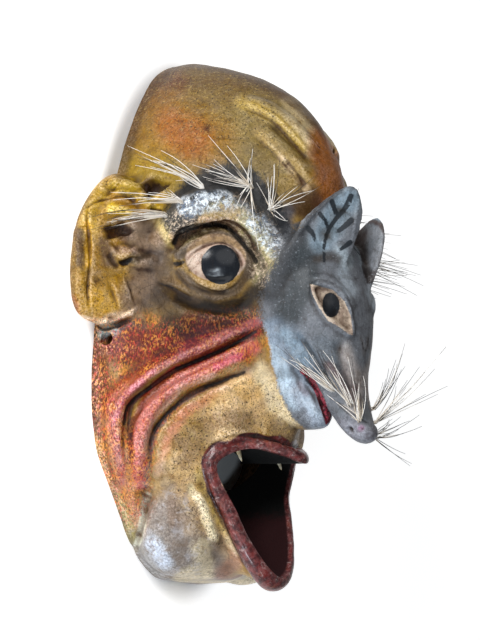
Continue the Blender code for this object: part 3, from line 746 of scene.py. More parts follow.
def carvedSkin():
    scoop = loft("scoop", mouthRings(mouth["radii"][3] - 1, mouth["scoopDepths"]))
    broad = fused([faceBody(), scoop, *broadSideForms()], "broadForms", carving["broadRounds"])
    head = fused(foxForms(), "foxHead", carving["foxRounds"])
    report("broad forms fused")
    skin = fused([broad, head, lips(), *fineSideForms()], "skin", carving["skinRounds"])
    for points in (foxEdge["line"], mirrored(foxEdge["line"])):
        rubFull(skin, points, foxEdge["reach"], foxEdge["rounds"])
    tree = skinTree(skin)
    carve(skin, tree, strokeLines(tree))
    tree = skinTree(skin)
    carve(skin, tree, fineStrokeLines(tree))
    tremble(skin)
    report(f"skin carved, {len(skin.vertices)} points")
    return skin, skinTree(broad), skinTree(head)


skin, faceTree, foxTree = carvedSkin()
skinShape = skinTree(skin)

# Tufts: where they stand and where their bristles point.

# Each tuft: its place, its hole's kind, the tips of its guide bristles as pixels of the photograph or as ways
# in mm, copies of each guide, and the fan of their tips in mm.
tufts = {
    "brow_tuft_right_1": {
        "place": (-80, 46, 44),
        "tips": [(82, 221), (92, 229), (100, 224), (106, 219)],
        "copies": 4,
        "fan": 3,
    },
    "brow_tuft_right_2": {
        "place": (-76, 53, 53),
        "tips": [(103, 197), (112, 203), (127, 200), (156, 180)],
        "copies": 4,
        "fan": 3,
    },
    "brow_tuft_right_3": {
        "place": (-67, 64, 61),
        "tips": [(124, 152), (131, 160), (144, 150), (149, 166), (162, 172)],
        "copies": 5,
        "fan": 4,
    },
    "brow_tuft_right_4": {
        "place": (-47, 65, 82),
        "tips": [(189, 145), (205, 132), (191, 167), (250, 150), (256, 246), (196, 178), (226, 226)],
        "copies": 5,
        "fan": 4,
    },
    "brow_tuft_right_5": {
        "place": (-38, 52, 90),
        "tips": [(279, 148), (324, 184), (313, 164), (285, 226), (254, 176), (271, 166), (289, 196)],
        "copies": 3,
        "fan": 4,
    },
    "brow_tuft_left_1": {
        "place": (80, 46, 44),
        "ways": [(34, -5, 60), (34, -13, 56), (31, -22, 52), (33, 0, 56)],
        "copies": 7,
        "fan": 5,
    },
    "brow_tuft_left_2": {
        "place": (76, 53, 53),
        "ways": [(36, -13, 58), (37, -23, 54), (36, -18, 50)],
        "copies": 6,
        "fan": 5,
    },
    "brow_tuft_left_3": {
        "place": (67, 64, 61),
        "ways": [(44, -12, 36), (40, -14, 26), (42, -4, 38)],
        "copies": 5,
        "fan": 5,
    },
    "brow_tuft_left_4": {
        "place": (47, 65, 82),
        "ways": [(33, 22, -17), (24, 32, 0), (34, 6, 4)],
        "copies": 5,
        "fan": 5,
    },
    "brow_tuft_left_5": {
        "place": (38, 52, 90),
        "ways": [(18, 28, -5), (14, 30, 10), (26, 8, 12)],
        "copies": 4,
        "fan": 5,
    },
    "whisker_tuft_right_1": {
        "place": (-17, -54, 118),
        "tips": [(275, 345), (283, 352), (291, 352), (300, 340), (285, 361)],
        "copies": 3,
        "fan": 3,
    },
    "whisker_tuft_right_2": {
        "place": (-12, -63, 127),
        "tips": [(314, 350), (322, 352), (329, 354), (337, 372), (300, 345)],
        "copies": 3,
        "fan": 3,
    },
    "whisker_tuft_right_3": {
        "place": (-9, -71, 131),
        "tips": [(327, 394), (344, 354), (350, 358), (356, 368), (360, 372)],
        "copies": 3,
        "fan": 3,
    },
    "whisker_tuft_left_1": {
        "place": (12, -62, 127),
        "tips": [(407, 340), (398, 356), (389, 372)],
        "copies": 4,
        "fan": 4,
    },
    "whisker_tuft_left_2": {
        "place": (9, -70, 131),
        "tips": [(443, 342), (463, 376), (405, 376), (412, 388), (428, 372)],
        "copies": 3,
        "fan": 4,
    },
    "whisker_tuft_left_3": {
        "place": (7, -77, 128),
        "tips": [(405, 410), (420, 428), (400, 432), (418, 468), (395, 420), (415, 418)],
        "copies": 3,
        "fan": 3,
    },
}
for name, tuft in tufts.items():
    place, normal, _, _ = skinShape.find_nearest(Vector(tuft["place"]) * mm)
    tuft["root"], tuft["normal"] = place, normal
    tuft["kind"] = "brow" if name.startswith("brow") else "whisker"

# Teeth: where they stand.

tooth = {"length": 8.6, "diameter": 3.3, "depth": 2.7, "across": 22, "share": 0.16, "aim": (0, -0.97, 0.24)}
toothRoots = {}
for name, side in (("tooth_right", -1), ("tooth_left", 1)):
    above = [p for p in mouthRings(mouth["grow"], [tooth["share"]], 120)[0] if p[1] > mouth["middle"][1]]
    toothRoots[name] = Vector(min(above, key=lambda p: abs(p[0] - side * tooth["across"]))) * mm

# The mask's mesh.


def cut(obj, cutter, name):
    step = obj.modifiers.new(name, "BOOLEAN")
    step.operation = "DIFFERENCE"
    step.solver = "MANIFOLD"
    step.object = newObject(name, cutter)
    step.object.hide_render = True
    return step.object


def maskMesh():
    obj = newObject("mask_wood", skin)
    thin = obj.modifiers.new("thinOut", "DECIMATE")
    thin.ratio = carving["skinTriangles"] / (2 * len(skin.polygons))
    bm = bmesh.new()
    bmesh.ops.create_cube(
        bm, size=1, matrix=Matrix.Translation((0, 0, -0.1)) @ Matrix.Diagonal((1, 1, 0.2, 1)),
    )
    tie = [(side * 0.3, ear["tieHole"][0] * mm, ear["tieHole"][1] * mm) for side in (-1, 1)]
    holes = {
        kind: [
            (t["root"] - t["normal"] * 0.004, t["root"] + t["normal"] * 0.004)
            for t in tufts.values() if t["kind"] == kind]
        for kind in ("brow", "whisker")}
    aim = Vector(tooth["aim"]).normalized()
    toothEnds = [(root - aim * 0.003, root + aim * 0.004) for root in toothRoots.values()]
    cutters = [
        cut(obj, meshFrom(bm, "belowTheRim"), "belowTheRim"),
        cut(obj, hollowBody(), "hollow"),
        cut(obj, loft("mouth", mouthRings(mouth["grow"], mouth["depths"])), "mouth"),
        cut(obj, cylinders("tieHoles", [tie], carving["tieHoleDiameter"] / 2 * mm, 40), "tieHoles"),
        cut(
            obj, cylinders("browHoles", holes["brow"], carving["browHoleDiameter"] / 2 * mm, 16),
            "browHoles",
        ),
        cut(
            obj, cylinders("whiskerHoles", holes["whisker"], carving["whiskerHoleDiameter"] / 2 * mm, 14),
            "whiskerHoles",
        ),
        cut(obj, cylinders("toothHoles", toothEnds, (tooth["diameter"] / 2 + 0.1) * mm, 16), "toothHoles"),
    ]
    mesh = plainMesh(obj)
    for cutter in cutters:
        bpy.data.objects.remove(cutter)
    bm = bmesh.new()
    bm.from_mesh(mesh)
    bmesh.ops.remove_doubles(bm, verts=bm.verts[:], dist=2e-6)
    bmesh.ops.dissolve_degenerate(bm, edges=bm.edges[:], dist=1e-6)
    bmesh.ops.triangulate(bm, faces=bm.faces[:])
    mesh = meshFrom(bm, "mask_wood")
    mesh.shade_smooth()
    mesh.set_sharp_from_angle(angle=math.radians(48))
    return mesh


maskWood = maskMesh()
report(f"mask cut, {len(maskWood.polygons)} triangles")

# Paint: where each colour lies, worked out at every point of the wood.


def tint(red, green, blue):
    # A colour as a painter reads it off a chart, 0 to 255, made linear.
    return np.array([(c / 255) ** 2.2 for c in (red, green, blue)])


def smoothStep(value, low, high):
    t = np.clip((value - low) / (high - low), 0, 1)
    return t * t * (3 - 2 * t)


# Broad and soft brush strokes on the face, in the order they were laid: points as pixels of the photograph,
# reach in pixels, strength and colour. Their colours hold painted light and shade as well as the paint.
faceBrush = [
    # forehead
    ([(235, 110), (200, 160)], 150, 1.0, (132, 113, 74)),
    ([(150, 150), (135, 175), (165, 185)], 30, 0.8, (163, 134, 58)),
    ([(180, 75), (230, 70), (290, 90), (325, 130)], 22, 0.7, (84, 58, 25)),
    ([(155, 100), (170, 85)], 26, 0.6, (87, 29, 5)),
    ([(150, 128), (180, 125), (205, 140)], 42, 0.75, (137, 97, 43)),
    ([(176, 130), (190, 138)], 30, 0.42, (166, 78, 31)),
    ([(206, 128)], 6, 0.8, (66, 29, 22)),
    ([(205, 95), (225, 92)], 26, 0.45, (93, 62, 15)),
    # The pale gold strokes along the forehead's two ridges are gold paint and painted highlight.
    ([(240, 102), (258, 109), (276, 118), (290, 132), (304, 149)], 9, 0.7, (187, 159, 93)),
    ([(256, 131), (272, 145), (286, 159), (304, 181)], 8, 0.6, (170, 144, 98)),
    ([(290, 105), (306, 126), (318, 145)], 13, 0.6, (212, 192, 152)),
    ([(326, 138), (332, 165), (328, 200)], 22, 0.9, (140, 83, 43)),
    ([(308, 198), (318, 214), (300, 205)], 18, 0.85, (57, 36, 28)),
    ([(316, 152), (322, 176)], 10, 0.5, (108, 68, 50)),
    ([(335, 130), (338, 150)], 7, 0.9, (60, 38, 27)),
    ([(281, 158), (294, 173), (306, 190)], 5, 0.8, (189, 163, 127)),
    ([(250, 150), (270, 172)], 12, 0.35, (72, 59, 42)),
    # A dark line along the forehead's outline: painted shade.
    (
        [
            (119, 177), (128, 143), (136, 114), (153, 87), (174, 67), (191, 61), (221, 65), (256, 77),
            (289, 98), (315, 120), (336, 143), (347, 173),
        ],
        9, 0.7, (65, 41, 23),
    ),
    # ear
    ([(95, 200), (90, 250), (100, 300)], 48, 1.0, (161, 124, 63)),
    ([(100, 188), (88, 210), (90, 232)], 14, 0.8, (186, 152, 79)),
    ([(115, 184), (132, 186), (146, 200)], 10, 0.85, (170, 139, 51)),
    ([(88, 222), (90, 262)], 5, 0.9, (226, 169, 32)),
    ([(112, 206), (128, 210)], 8, 0.75, (241, 205, 100)),
    ([(80, 232), (82, 262)], 8, 0.8, (72, 55, 49)),
    ([(94, 240), (104, 262), (100, 278)], 14, 0.5, (141, 111, 76)),
    ([(106, 243), (112, 262)], 9, 0.75, (85, 68, 63)),
    ([(116, 196), (134, 202), (150, 212)], 8, 0.7, (165, 119, 45)),
    # The dark strokes in the ear's notch and hollow here, and in its pit below, are brown paint and painted shade.
    ([(150, 182), (156, 192)], 11, 0.9, (100, 76, 47)),
    ([(122, 228), (126, 238)], 10, 0.85, (79, 40, 10)),
    ([(140, 232), (150, 245), (150, 268), (140, 290), (130, 305)], 24, 0.8, (136, 117, 104)),
    ([(118, 250), (134, 252)], 5, 0.55, (153, 128, 119)),
    ([(126, 262), (146, 257)], 5, 0.8, (36, 26, 17)),
    ([(95, 300), (108, 308)], 16, 0.7, (201, 158, 86)),
    ([(73, 300), (75, 316)], 6, 0.8, (173, 96, 35)),
    ([(78, 319), (100, 322), (128, 315)], 5, 0.85, (231, 200, 167)),
    # A dark line along the ear's outer edge: painted shade.
    ([(87, 187), (75, 220), (72, 246), (72, 290), (73, 314)], 5.5, 0.55, (86, 59, 23)),
    # between ear and eye
    ([(165, 222), (172, 235)], 14, 0.7, (241, 215, 149)),
    ([(158, 200), (172, 205)], 13, 0.6, (240, 198, 88)),
    ([(150, 215), (162, 212)], 6, 0.7, (49, 35, 19)),
    ([(158, 262), (165, 285), (150, 305)], 18, 0.7, (70, 59, 53)),
    # brow
    ([(182, 226), (205, 210), (232, 210), (256, 230), (268, 256), (266, 276)], 22, 0.95, (180, 171, 120)),
    ([(174, 234), (188, 224), (205, 219)], 10, 0.75, (236, 193, 149)),
    ([(216, 212), (228, 208), (236, 214)], 9, 0.6, (196, 158, 110)),
    ([(210, 220), (228, 220), (240, 228)], 6, 0.6, (176, 132, 109)),
    ([(248, 240), (258, 260), (264, 276)], 9, 0.6, (85, 79, 88)),
    ([(287, 212), (285, 228), (279, 246)], 13, 0.85, (74, 75, 83)),
    # eye's surround
    ([(178, 252), (195, 242), (215, 234), (235, 240), (248, 256), (250, 276)], 9, 0.95, (83, 71, 61)),
    ([(180, 272), (192, 286), (212, 297), (236, 292), (250, 276)], 8, 0.9, (80, 67, 56)),
    ([(188, 246), (205, 238), (224, 237)], 4, 0.5, (132, 106, 80)),
    # The dark band below the eye, down to the fox's head, is dark paint and painted shade.
    ([(183, 301), (215, 309), (245, 304), (262, 288)], 12, 0.95, (26, 16, 6)),
    ([(205, 318), (238, 322), (256, 312)], 10, 0.8, (6, 5, 5)),
    ([(160, 290), (176, 298)], 9, 0.7, (36, 23, 14)),
    ([(266, 282), (264, 305), (268, 325)], 9, 0.75, (12, 10, 7)),
    ([(158, 300), (180, 312), (210, 320), (245, 322)], 13, 0.75, (43, 30, 20)),
    ([(160, 272), (176, 286), (196, 300)], 9, 0.7, (88, 69, 49)),
    # cheek
    ([(120, 345), (150, 345), (190, 345), (235, 345)], 30, 1.0, (106, 39, 32)),
    ([(165, 322), (200, 332), (240, 330), (256, 326)], 15, 0.9, (27, 10, 12)),
    ([(190, 322), (225, 330), (250, 328)], 13, 0.65, (72, 28, 28)),
    ([(185, 345), (205, 336)], 15, 0.7, (101, 36, 49)),
    ([(90, 350), (95, 380), (104, 420)], 24, 0.95, (92, 43, 16)),
    ([(84, 372), (80, 400)], 10, 0.6, (190, 112, 50)),
    ([(112, 420), (118, 455), (124, 490), (134, 528)], 20, 0.95, (173, 122, 89)),
    ([(118, 500), (126, 530), (136, 556)], 13, 0.9, (147, 138, 91)),
    ([(150, 362), (124, 385), (112, 410)], 14, 0.8, (147, 57, 41)),
    ([(230, 352), (206, 362), (170, 384), (146, 405), (136, 430), (136, 460)], 9, 0.8, (146, 52, 34)),
    # The pink strokes along the folds' crests are pink paint and painted highlight; the dark strokes in their
    # grooves are dark paint and painted shade.
    (
        [(255, 322), (225, 336), (185, 353), (146, 376), (118, 404), (114, 426), (124, 480)], 7, 0.8,
        (153, 90, 91),
    ),
    ([(150, 372), (124, 396), (116, 420)], 4, 0.75, (214, 129, 139)),
    ([(252, 348), (212, 366), (176, 384), (148, 410), (138, 442), (142, 482)], 10, 1.0, (184, 109, 101)),
    ([(240, 358), (215, 368)], 6, 0.6, (212, 89, 120)),
    ([(206, 358), (176, 372), (146, 396), (132, 420), (131, 460)], 4, 0.75, (95, 18, 18)),
    ([(214, 374), (180, 390), (152, 418), (144, 452)], 4, 0.5, (238, 186, 170)),
    (
        [(256, 331), (233, 345), (201, 360), (176, 369), (151, 387), (131, 402), (125, 416)], 3.5, 0.9,
        (160, 63, 67),
    ),
    ([(254, 378), (215, 394), (182, 414), (166, 440), (160, 470)], 7, 0.85, (214, 145, 120)),
    (
        [(250, 370), (220, 383), (195, 393), (173, 409), (159, 424), (151, 440), (149, 460), (147, 484)],
        3.4, 0.95, (118, 96, 96),
    ),
    ([(104, 332), (112, 330)], 10, 0.7, (153, 202, 207)),
    ([(118, 327), (140, 326)], 8, 0.55, (57, 54, 64)),
    # upper lip and the side of the jaw
    ([(245, 400), (215, 440), (190, 470), (210, 500), (225, 530)], 44, 1.0, (213, 179, 135)),
    ([(262, 370), (270, 388), (278, 405), (290, 418)], 14, 0.9, (232, 212, 175)),
    ([(240, 385), (255, 395)], 14, 0.7, (228, 188, 135)),
    ([(205, 425), (225, 418), (250, 420)], 15, 0.6, (97, 71, 54)),
    ([(180, 440), (195, 448), (185, 462)], 14, 0.6, (114, 89, 71)),
    ([(278, 425), (295, 438), (302, 446)], 13, 0.8, (145, 122, 96)),
    ([(205, 478), (215, 505), (226, 525)], 13, 0.8, (224, 196, 128)),
    ([(160, 470), (170, 485)], 12, 0.5, (164, 148, 128)),
    # A dark line along the outline of the rim and jaw: painted shade.
    (
        [
            (92, 325), (92, 350), (89, 397), (100, 430), (112, 478), (123, 530), (134, 550), (153, 578),
            (189, 583), (217, 578),
        ],
        5, 0.5, (48, 27, 18),
    ),
    ([(194, 430), (206, 444)], 15, 0.6, (128, 102, 68)),
    # jowl; its pale and blue-white strokes are worn paint and painted highlight
    ([(168, 520), (175, 550), (200, 565), (160, 560)], 42, 1.0, (130, 119, 111)),
    ([(150, 545), (158, 562)], 20, 0.7, (140, 139, 138)),
    ([(192, 488), (204, 506), (214, 538)], 6, 0.9, (238, 224, 184)),
    ([(182, 500), (190, 530)], 10, 0.6, (181, 158, 132)),
    ([(172, 500), (176, 520)], 9, 0.6, (141, 117, 98)),
    ([(200, 548), (205, 570), (185, 577)], 13, 0.6, (241, 222, 184)),
    ([(222, 572), (238, 560), (234, 548)], 11, 0.75, (145, 105, 89)),
    ([(228, 540), (238, 552)], 7, 0.6, (210, 192, 159)),
    ([(172, 500), (182, 522)], 12, 0.55, (112, 94, 81)),
    ([(152, 546), (163, 560)], 12, 0.7, (198, 206, 222)),
    ([(197, 494), (205, 518), (211, 540)], 4.5, 0.85, (238, 219, 183)),
    ([(148, 494), (143, 518), (137, 542)], 5, 0.85, (239, 239, 218)),
]

# Broad and soft brush strokes on the fox, laid the same way. Their colours hold painted light and shade as well as
# the paint.
foxBrush = [
    ([(330, 320)], 200, 1.0, (101, 104, 110)),
    ([(300, 235), (284, 262), (272, 292)], 16, 0.7, (12, 11, 9)),
    ([(306, 258), (300, 290), (286, 316)], 22, 0.85, (36, 43, 46)),
    ([(344, 275), (352, 290)], 12, 0.65, (159, 170, 180)),
    ([(340, 250), (348, 262)], 10, 0.5, (172, 187, 195)),
    # The pale blue down the fox's cheek and jaw is blue paint and painted highlight.
    ([(268, 332), (276, 352), (284, 376), (296, 398)], 15, 0.8, (181, 204, 223)),
    ([(274, 330), (288, 340), (302, 358), (310, 374)], 20, 0.8, (96, 109, 124)),
    ([(284, 334), (296, 347), (306, 363)], 10, 0.75, (114, 135, 151)),
    ([(300, 392), (315, 408), (322, 424)], 16, 0.95, (136, 146, 160)),
    ([(306, 398), (318, 412)], 8, 0.6, (167, 184, 200)),
    ([(300, 384), (306, 392)], 5, 0.5, (110, 94, 102)),
    ([(320, 345), (338, 352)], 15, 0.55, (81, 90, 98)),
    ([(345, 350), (356, 385), (352, 405)], 12, 0.6, (175, 164, 157)),
    # The dark line along the groove between the fox's cheek and muzzle is dark paint and painted shade.
    ([(298, 336), (310, 351), (321, 367), (331, 386)], 4.5, 0.85, (76, 90, 103)),
    ([(361, 338), (366, 360), (371, 386)], 2.4, 0.8, (107, 103, 104)),
    ([(328, 362), (338, 378), (350, 398)], 5, 0.55, (104, 68, 62)),
    ([(354, 388)], 6, 0.65, (104, 70, 76)),
    ([(344, 372), (356, 400)], 7, 0.4, (84, 60, 58)),
    ([(345, 420), (356, 430), (368, 436)], 12, 0.9, (123, 122, 131)),
    ([(338, 410), (346, 418)], 7, 0.5, (95, 100, 106)),
    ([(372, 424), (374, 436)], 5, 0.6, (100, 98, 102)),
    ([(359, 427)], 5, 0.9, (148, 112, 138)),
    ([(360, 428)], 2, 1.0, (58, 30, 40)),
    # near ear
    ([(322, 240), (334, 222), (348, 202)], 18, 0.95, (113, 130, 142)),
    ([(300, 234), (312, 217), (326, 204), (342, 193)], 4, 0.75, (22, 21, 27)),
    ([(315, 257), (328, 254), (338, 258)], 7, 0.8, (58, 51, 46)),
]

# The far ear's strokes: its paint, a painted highlight at its right, and painted shade at its left edge and lower
# part.
farEarPaintLightAndShade = [
    ([(360, 250), (366, 280)], 40, 1.0, (72, 64, 62)),
    ([(376, 234), (372, 262)], 12, 0.85, (140, 144, 150)),
    ([(358, 236), (356, 250)], 5, 0.7, (34, 28, 28)),
    ([(366, 272), (372, 290)], 9, 0.7, (44, 40, 40)),
    ([(370, 222), (380, 223), (384, 232)], 3.5, 0.85, (70, 50, 42)),
]

# Hard-edged marks of a fine brush: points as pixels and half the mark's width at each end.
earStripes = [
    ([(324, 264), (324, 245), (328, 232), (335, 220), (345, 208), (351, 196)], 1.4, 3.0),
    ([(336, 214), (334, 207), (332, 201)], 2.2, 2.6),
    ([(328, 228), (325, 220), (320, 214)], 1.4, 2.4),
    ([(316, 243), (313, 234), (308, 228)], 1.2, 3.0),
    ([(338, 231), (344, 227), (351, 221)], 2.0, 3.2),
    ([(340, 250), (345, 246), (350, 242)], 1.8, 3.0),
]
# Where the fox's grey ends on the face, down its right side.
foxPaintLine = [
    (313, 202), (304, 216), (292, 228), (279, 248), (268, 273), (261, 298), (259, 318), (265, 332),
    (270, 348), (273, 366),
    (277, 380), (281, 394), (286, 408), (294, 420), (303, 428), (312, 440)]
foxEyeOutline = [
    (310, 284), (318, 286), (333, 290), (345, 301), (351, 316), (353, 336), (348, 334), (341, 328),
    (329, 321), (319, 308), (313, 296),
]
# Dark lines in the carved creases, grooves, pits and holes: points as pixels and half the line's width. They are
# dark paint and painted shade; the tie hole's inside and the crease over the eye are painted black for their
# shade.
darkLines = [
    (
        [
            (174, 243), (179, 232), (190, 228), (204, 225), (217, 225), (228, 229), (237, 237), (245, 246),
            (252, 255), (256, 261),
        ],
        2.2,
    ),
    ([(256, 331), (240, 341), (222, 350), (201, 359), (176, 369)], 1.5),
    ([(151, 387), (136, 398), (127, 410), (124, 424)], 1.4),
    ([(244, 372), (220, 382), (205, 387)], 1.5),
    ([(178, 404), (165, 416), (155, 430)], 1.3),
    ([(175, 264), (180, 263.5), (183, 262)], 1.9),
    ([(161, 284), (169, 286), (178, 290)], 0.7),
    ([(120, 262), (126, 263), (131, 259)], 1.5),
    ([(333, 137), (336, 146), (334, 155)], 1.8),
    ([(189, 270), (189.5, 270.5)], 0.9),
    ([(97, 326), (104, 330), (120, 326)], 1.2),
    ([(105.5, 338), (107.5, 338)], 4.6),
    ([(361, 336), (365, 358), (370, 384)], 0.7),
    ([(318, 352), (324, 366), (330, 384)], 0.5),
]
foxMouthLine = ([(302, 371), (310, 378), (318, 392), (324, 408), (329, 424)], 2.6, 3.6)


def insidePolygon(points, outline):
    # How deep inside an outline each point lies, below 0 outside it.
    closed = np.array(outline + outline[:1], float)
    away, _ = nearLine(points, closed)
    inside = np.zeros(len(points), bool)
    for (ax, ay), (bx, by) in zip(closed, closed[1:]):
        crosses = (ay > points[:, 1]) != (by > points[:, 1])
        at = ax + (points[:, 1] - ay) * (bx - ax) / (by - ay if by != ay else 1e-9)
        inside ^= crosses & (points[:, 0] < at)
    return np.where(inside, away, -away)


def rightOfLine(points, line):
    # How far right of a line that runs down the picture each point lies, in pixels.
    line = np.array(line, float)
    away, _ = nearLine(points, line)
    return np.where(points[:, 0] > np.interp(points[:, 1], line[:, 1], line[:, 0]), away, -away)


def washed(colours, spots, brushes):
    # Lays soft strokes over each other in order.
    for points, reach, strength, colour in brushes:
        line = np.array(points, float)
        margin = reach
        inBox = np.all((spots > line.min(axis=0) - margin) & (spots < line.max(axis=0) + margin), axis=1)
        here = np.nonzero(inBox)[0]
        away, _ = nearLine(spots[here], line)
        cover = (strength * (1 - smoothStep(away, reach * 0.35, reach)))[:, None]
        colours[here] = colours[here] * (1 - cover) + tint(*colour) * cover
    return colours


def strokeEdge(spots, strokesList):
    # How far inside the nearest mark each point lies, in pixels, below 0 outside them.
    best = np.full(len(spots), -12.0)
    for points, startHalf, endHalf in strokesList:
        away, along = nearLine(spots, spline(points, 4 * len(points)))
        best = np.maximum(best, startHalf + (endHalf - startHalf) * along - away)
    return best


def setField(mesh, name, values):
    kind = "FLOAT_COLOR" if values.ndim == 2 else "FLOAT"
    field = mesh.attributes.new(name, kind, "POINT")
    if values.ndim == 2:
        full = np.concatenate([values, np.ones((len(values), 1))], axis=1)
        field.data.foreach_set("color", full.astype(np.float32).ravel())
    else:
        field.data.foreach_set("value", values.astype(np.float32))


def curvature(mesh, places, normals, rounds):
    # How far each point stands out of its neighbours, in mm, averaged over some rounds.
    edges = np.empty(len(mesh.edges) * 2, np.int32)
    mesh.edges.foreach_get("vertices", edges)
    a, b = edges.reshape(-1, 2).T
    count = np.bincount(a, minlength=len(places)) + np.bincount(b, minlength=len(places))
    soft = places.copy()
    for _ in range(rounds):
        total = np.stack([
            np.bincount(
                a, soft[b, k], len(places),
            ) + np.bincount(b, soft[a, k], len(places)) for k in range(3)],
            axis=1)
        soft = 0.4 * soft + 0.6 * total / count[:, None]
    return np.einsum("ij,ij->i", places - soft, normals) / mm


def paintFields(mesh):
    places, normals = meshArrays(mesh)
    folded = places.copy()
    outward = normals[:, 0] * np.sign(places[:, 0]) > 0.05
    folded[:, 0] = -np.abs(folded[:, 0])
    wobble = np.array([noise.noise_vector(Vector(p) * 120)[:2] for p in places.tolist()])
    coarse = np.array([noise.noise_vector(Vector(p) * 34 + Vector((3, 1, 2)))[:2] for p in places.tolist()])
    exact = pixelsOf(folded)
    spots = exact + wobble * 2.2 + coarse * 4.0

    toFace = np.array([faceTree.find_nearest(p)[3] for p in places.tolist()]) / mm
    toFox = np.array([foxTree.find_nearest(p)[3] for p in places.tolist()]) / mm
    toSkin = np.array([skinShape.find_nearest(p)[3] for p in places.tolist()]) / mm
    foxReach = toFace - toFox

    face = washed(np.tile(tint(160, 128, 80), (len(places), 1)), spots, faceBrush)
    fox = washed(np.tile(tint(80, 84, 88), (len(places), 1)), spots, foxBrush)
    # The far ear shows its inner face, which no folded stroke reaches. Its strokes hold painted highlight and
    # painted shade.
    farEar = np.nonzero((places[:, 0] > 0.006) & (places[:, 1] > 0.012) & (places[:, 2] > 0.07) & ~outward)[0]
    fox[farEar] = washed(fox[farEar], pixelsOf(places[farEar]) + wobble[farEar] * 2, farEarPaintLightAndShade)
    setField(mesh, "facePaint", face)
    setField(mesh, "foxPaint", fox)
    # The grey ends at its drawn line, and nowhere far off the fox's own forms.
    drawn = rightOfLine(exact + wobble * 1.6 + coarse * 2.0, foxPaintLine)
    crisp = 0.17 + 0.36 * smoothStep(exact[:, 1], 316, 344)
    setField(mesh, "foxEdge", np.minimum(drawn * crisp, foxReach + 3.2))

    folded3 = folded / mm
    lipAway, _ = nearLine(folded3, np.array(spline(mouth["line"], 60)))
    lipRadius = np.interp(folded3[:, 1], [-158, -138, -100, -92, -80], [7.0, 5.0, 4.4, 5.2, 6.6])
    lipRadius += 2.6 * (1 - smoothStep(-folded3[:, 0], 8, 17)) * (folded3[:, 1] > -100)
    setField(mesh, "lipEdge", lipRadius * 1.12 - lipAway)
    lidAway, _ = nearLine(folded3, np.array(lidLine(40) + lidLine(40)[:1]))
    local = folded3 - np.array(eye["middle"])
    turn = math.radians(eye["turn"])
    across = local[:, 0] * math.cos(turn) + local[:, 2] * math.sin(turn)
    out = -local[:, 0] * math.sin(turn) + local[:, 2] * math.cos(turn)
    inOval = 1 - np.hypot(across / eye["halfSizes"][0], local[:, 1] / (eye["halfSizes"][1] + 1))
    setField(mesh, "eyeEdge", np.where(np.abs(out) < 16, inOval * 17 - 2.6, -8))
    iris = np.array(eye["irisMiddle"])
    irisAway = np.linalg.norm((exact - iris) / (1.0, 1.02), axis=1)
    setField(mesh, "irisEdge", np.where(inOval > -0.05, eye["irisRadius"] - irisAway, -20))
    lidLow = np.array(
        [(176, 262), (188, 254), (200, 247), (212, 244), (228, 245), (240, 253), (246, 266), (247, 282)],
        float,
    )
    lidAbove, _ = nearLine(exact, lidLow)
    belowLid = exact[:, 1] > np.interp(exact[:, 0], lidLow[:6, 0], lidLow[:6, 1])
    besideLid = exact[:, 0] < np.interp(exact[:, 1], lidLow[4:, 1], lidLow[4:, 0])
    inner = belowLid & besideLid
    setField(mesh, "lidTone", np.where(inner, -lidAbove, lidAbove))

    setField(mesh, "earStripes", np.where(outward, strokeEdge(exact + wobble * 0.7, earStripes), -12))
    setField(mesh, "foxEyeEdge", np.maximum(insidePolygon(exact + wobble * 0.8, foxEyeOutline), -12))
    pupil = np.hypot(
        (exact[:, 0] - 331) * 0.94 + (exact[:, 1] - 305) * 0.1,
        ((exact[:, 1] - 305) * 0.94 - (exact[:, 0] - 331) * 0.3) / 1.42,
    )
    setField(mesh, "foxPupilEdge", 8.4 - pupil)
    setField(mesh, "foxMouth", strokeEdge(exact + wobble * 0.6, [foxMouthLine]))
    # The dark lines: dark paint and painted shade in the creases and holes.
    lines = strokeEdge(exact + wobble * 0.9, [(points, half, half) for points, half in darkLines])
    setField(mesh, "darkLines", lines)

    # Where the surface lies under the skin that the carver cut from: the mouth's passage, then the raw back.
    passage = toSkin > 0.35
    throat = passage & (places[:, 1] < -0.074) & (places[:, 2] > 0.004)
    throat &= np.abs(places[:, 0]) < 0.045
    setField(mesh, "throat", throat.astype(float))
    setField(mesh, "rawWood", (passage & ~throat).astype(float))
    setField(mesh, "standOut", np.clip(curvature(mesh, places, normals, 5), -1.2, 1.2))
    setField(mesh, "standOutWide", np.clip(curvature(mesh, places, normals, 30), -3, 3))

    # How much of each kind of break-up shows: dark specks, red stipple, the brow's mottling with its pale zones of
    # painted highlight, wear.
    def zone(points, reach):
        away, _ = nearLine(spots, np.array(points, float))
        return 1 - smoothStep(away, reach * 0.5, reach)

    setField(mesh, "stipple", np.clip(
        zone([(85, 350), (140, 348)], 40) + 0.5 * zone([(150, 345), (250, 332)], 30)
        + zone([(95, 380), (110, 430), (125, 500)], 34) + 0.7 * zone(
            [(240, 360), (180, 385), (145, 430), (140, 480)], 18,
        ),
        0, 1))
    setField(mesh, "specks", np.clip(
        0.12 + zone([(205, 95), (240, 100)], 45) + 0.6 * zone([(180, 110), (260, 150)], 70)
        + zone([(205, 430), (260, 410), (290, 436)], 44) + zone([(190, 470), (220, 520)], 34)
        + 0.6 * zone([(95, 200), (100, 300)], 45), 0, 1))
    setField(mesh, "browBulge", np.clip(
        zone([(182, 226), (200, 214), (230, 210), (256, 230), (268, 256), (268, 272)], 22), 0, 1))
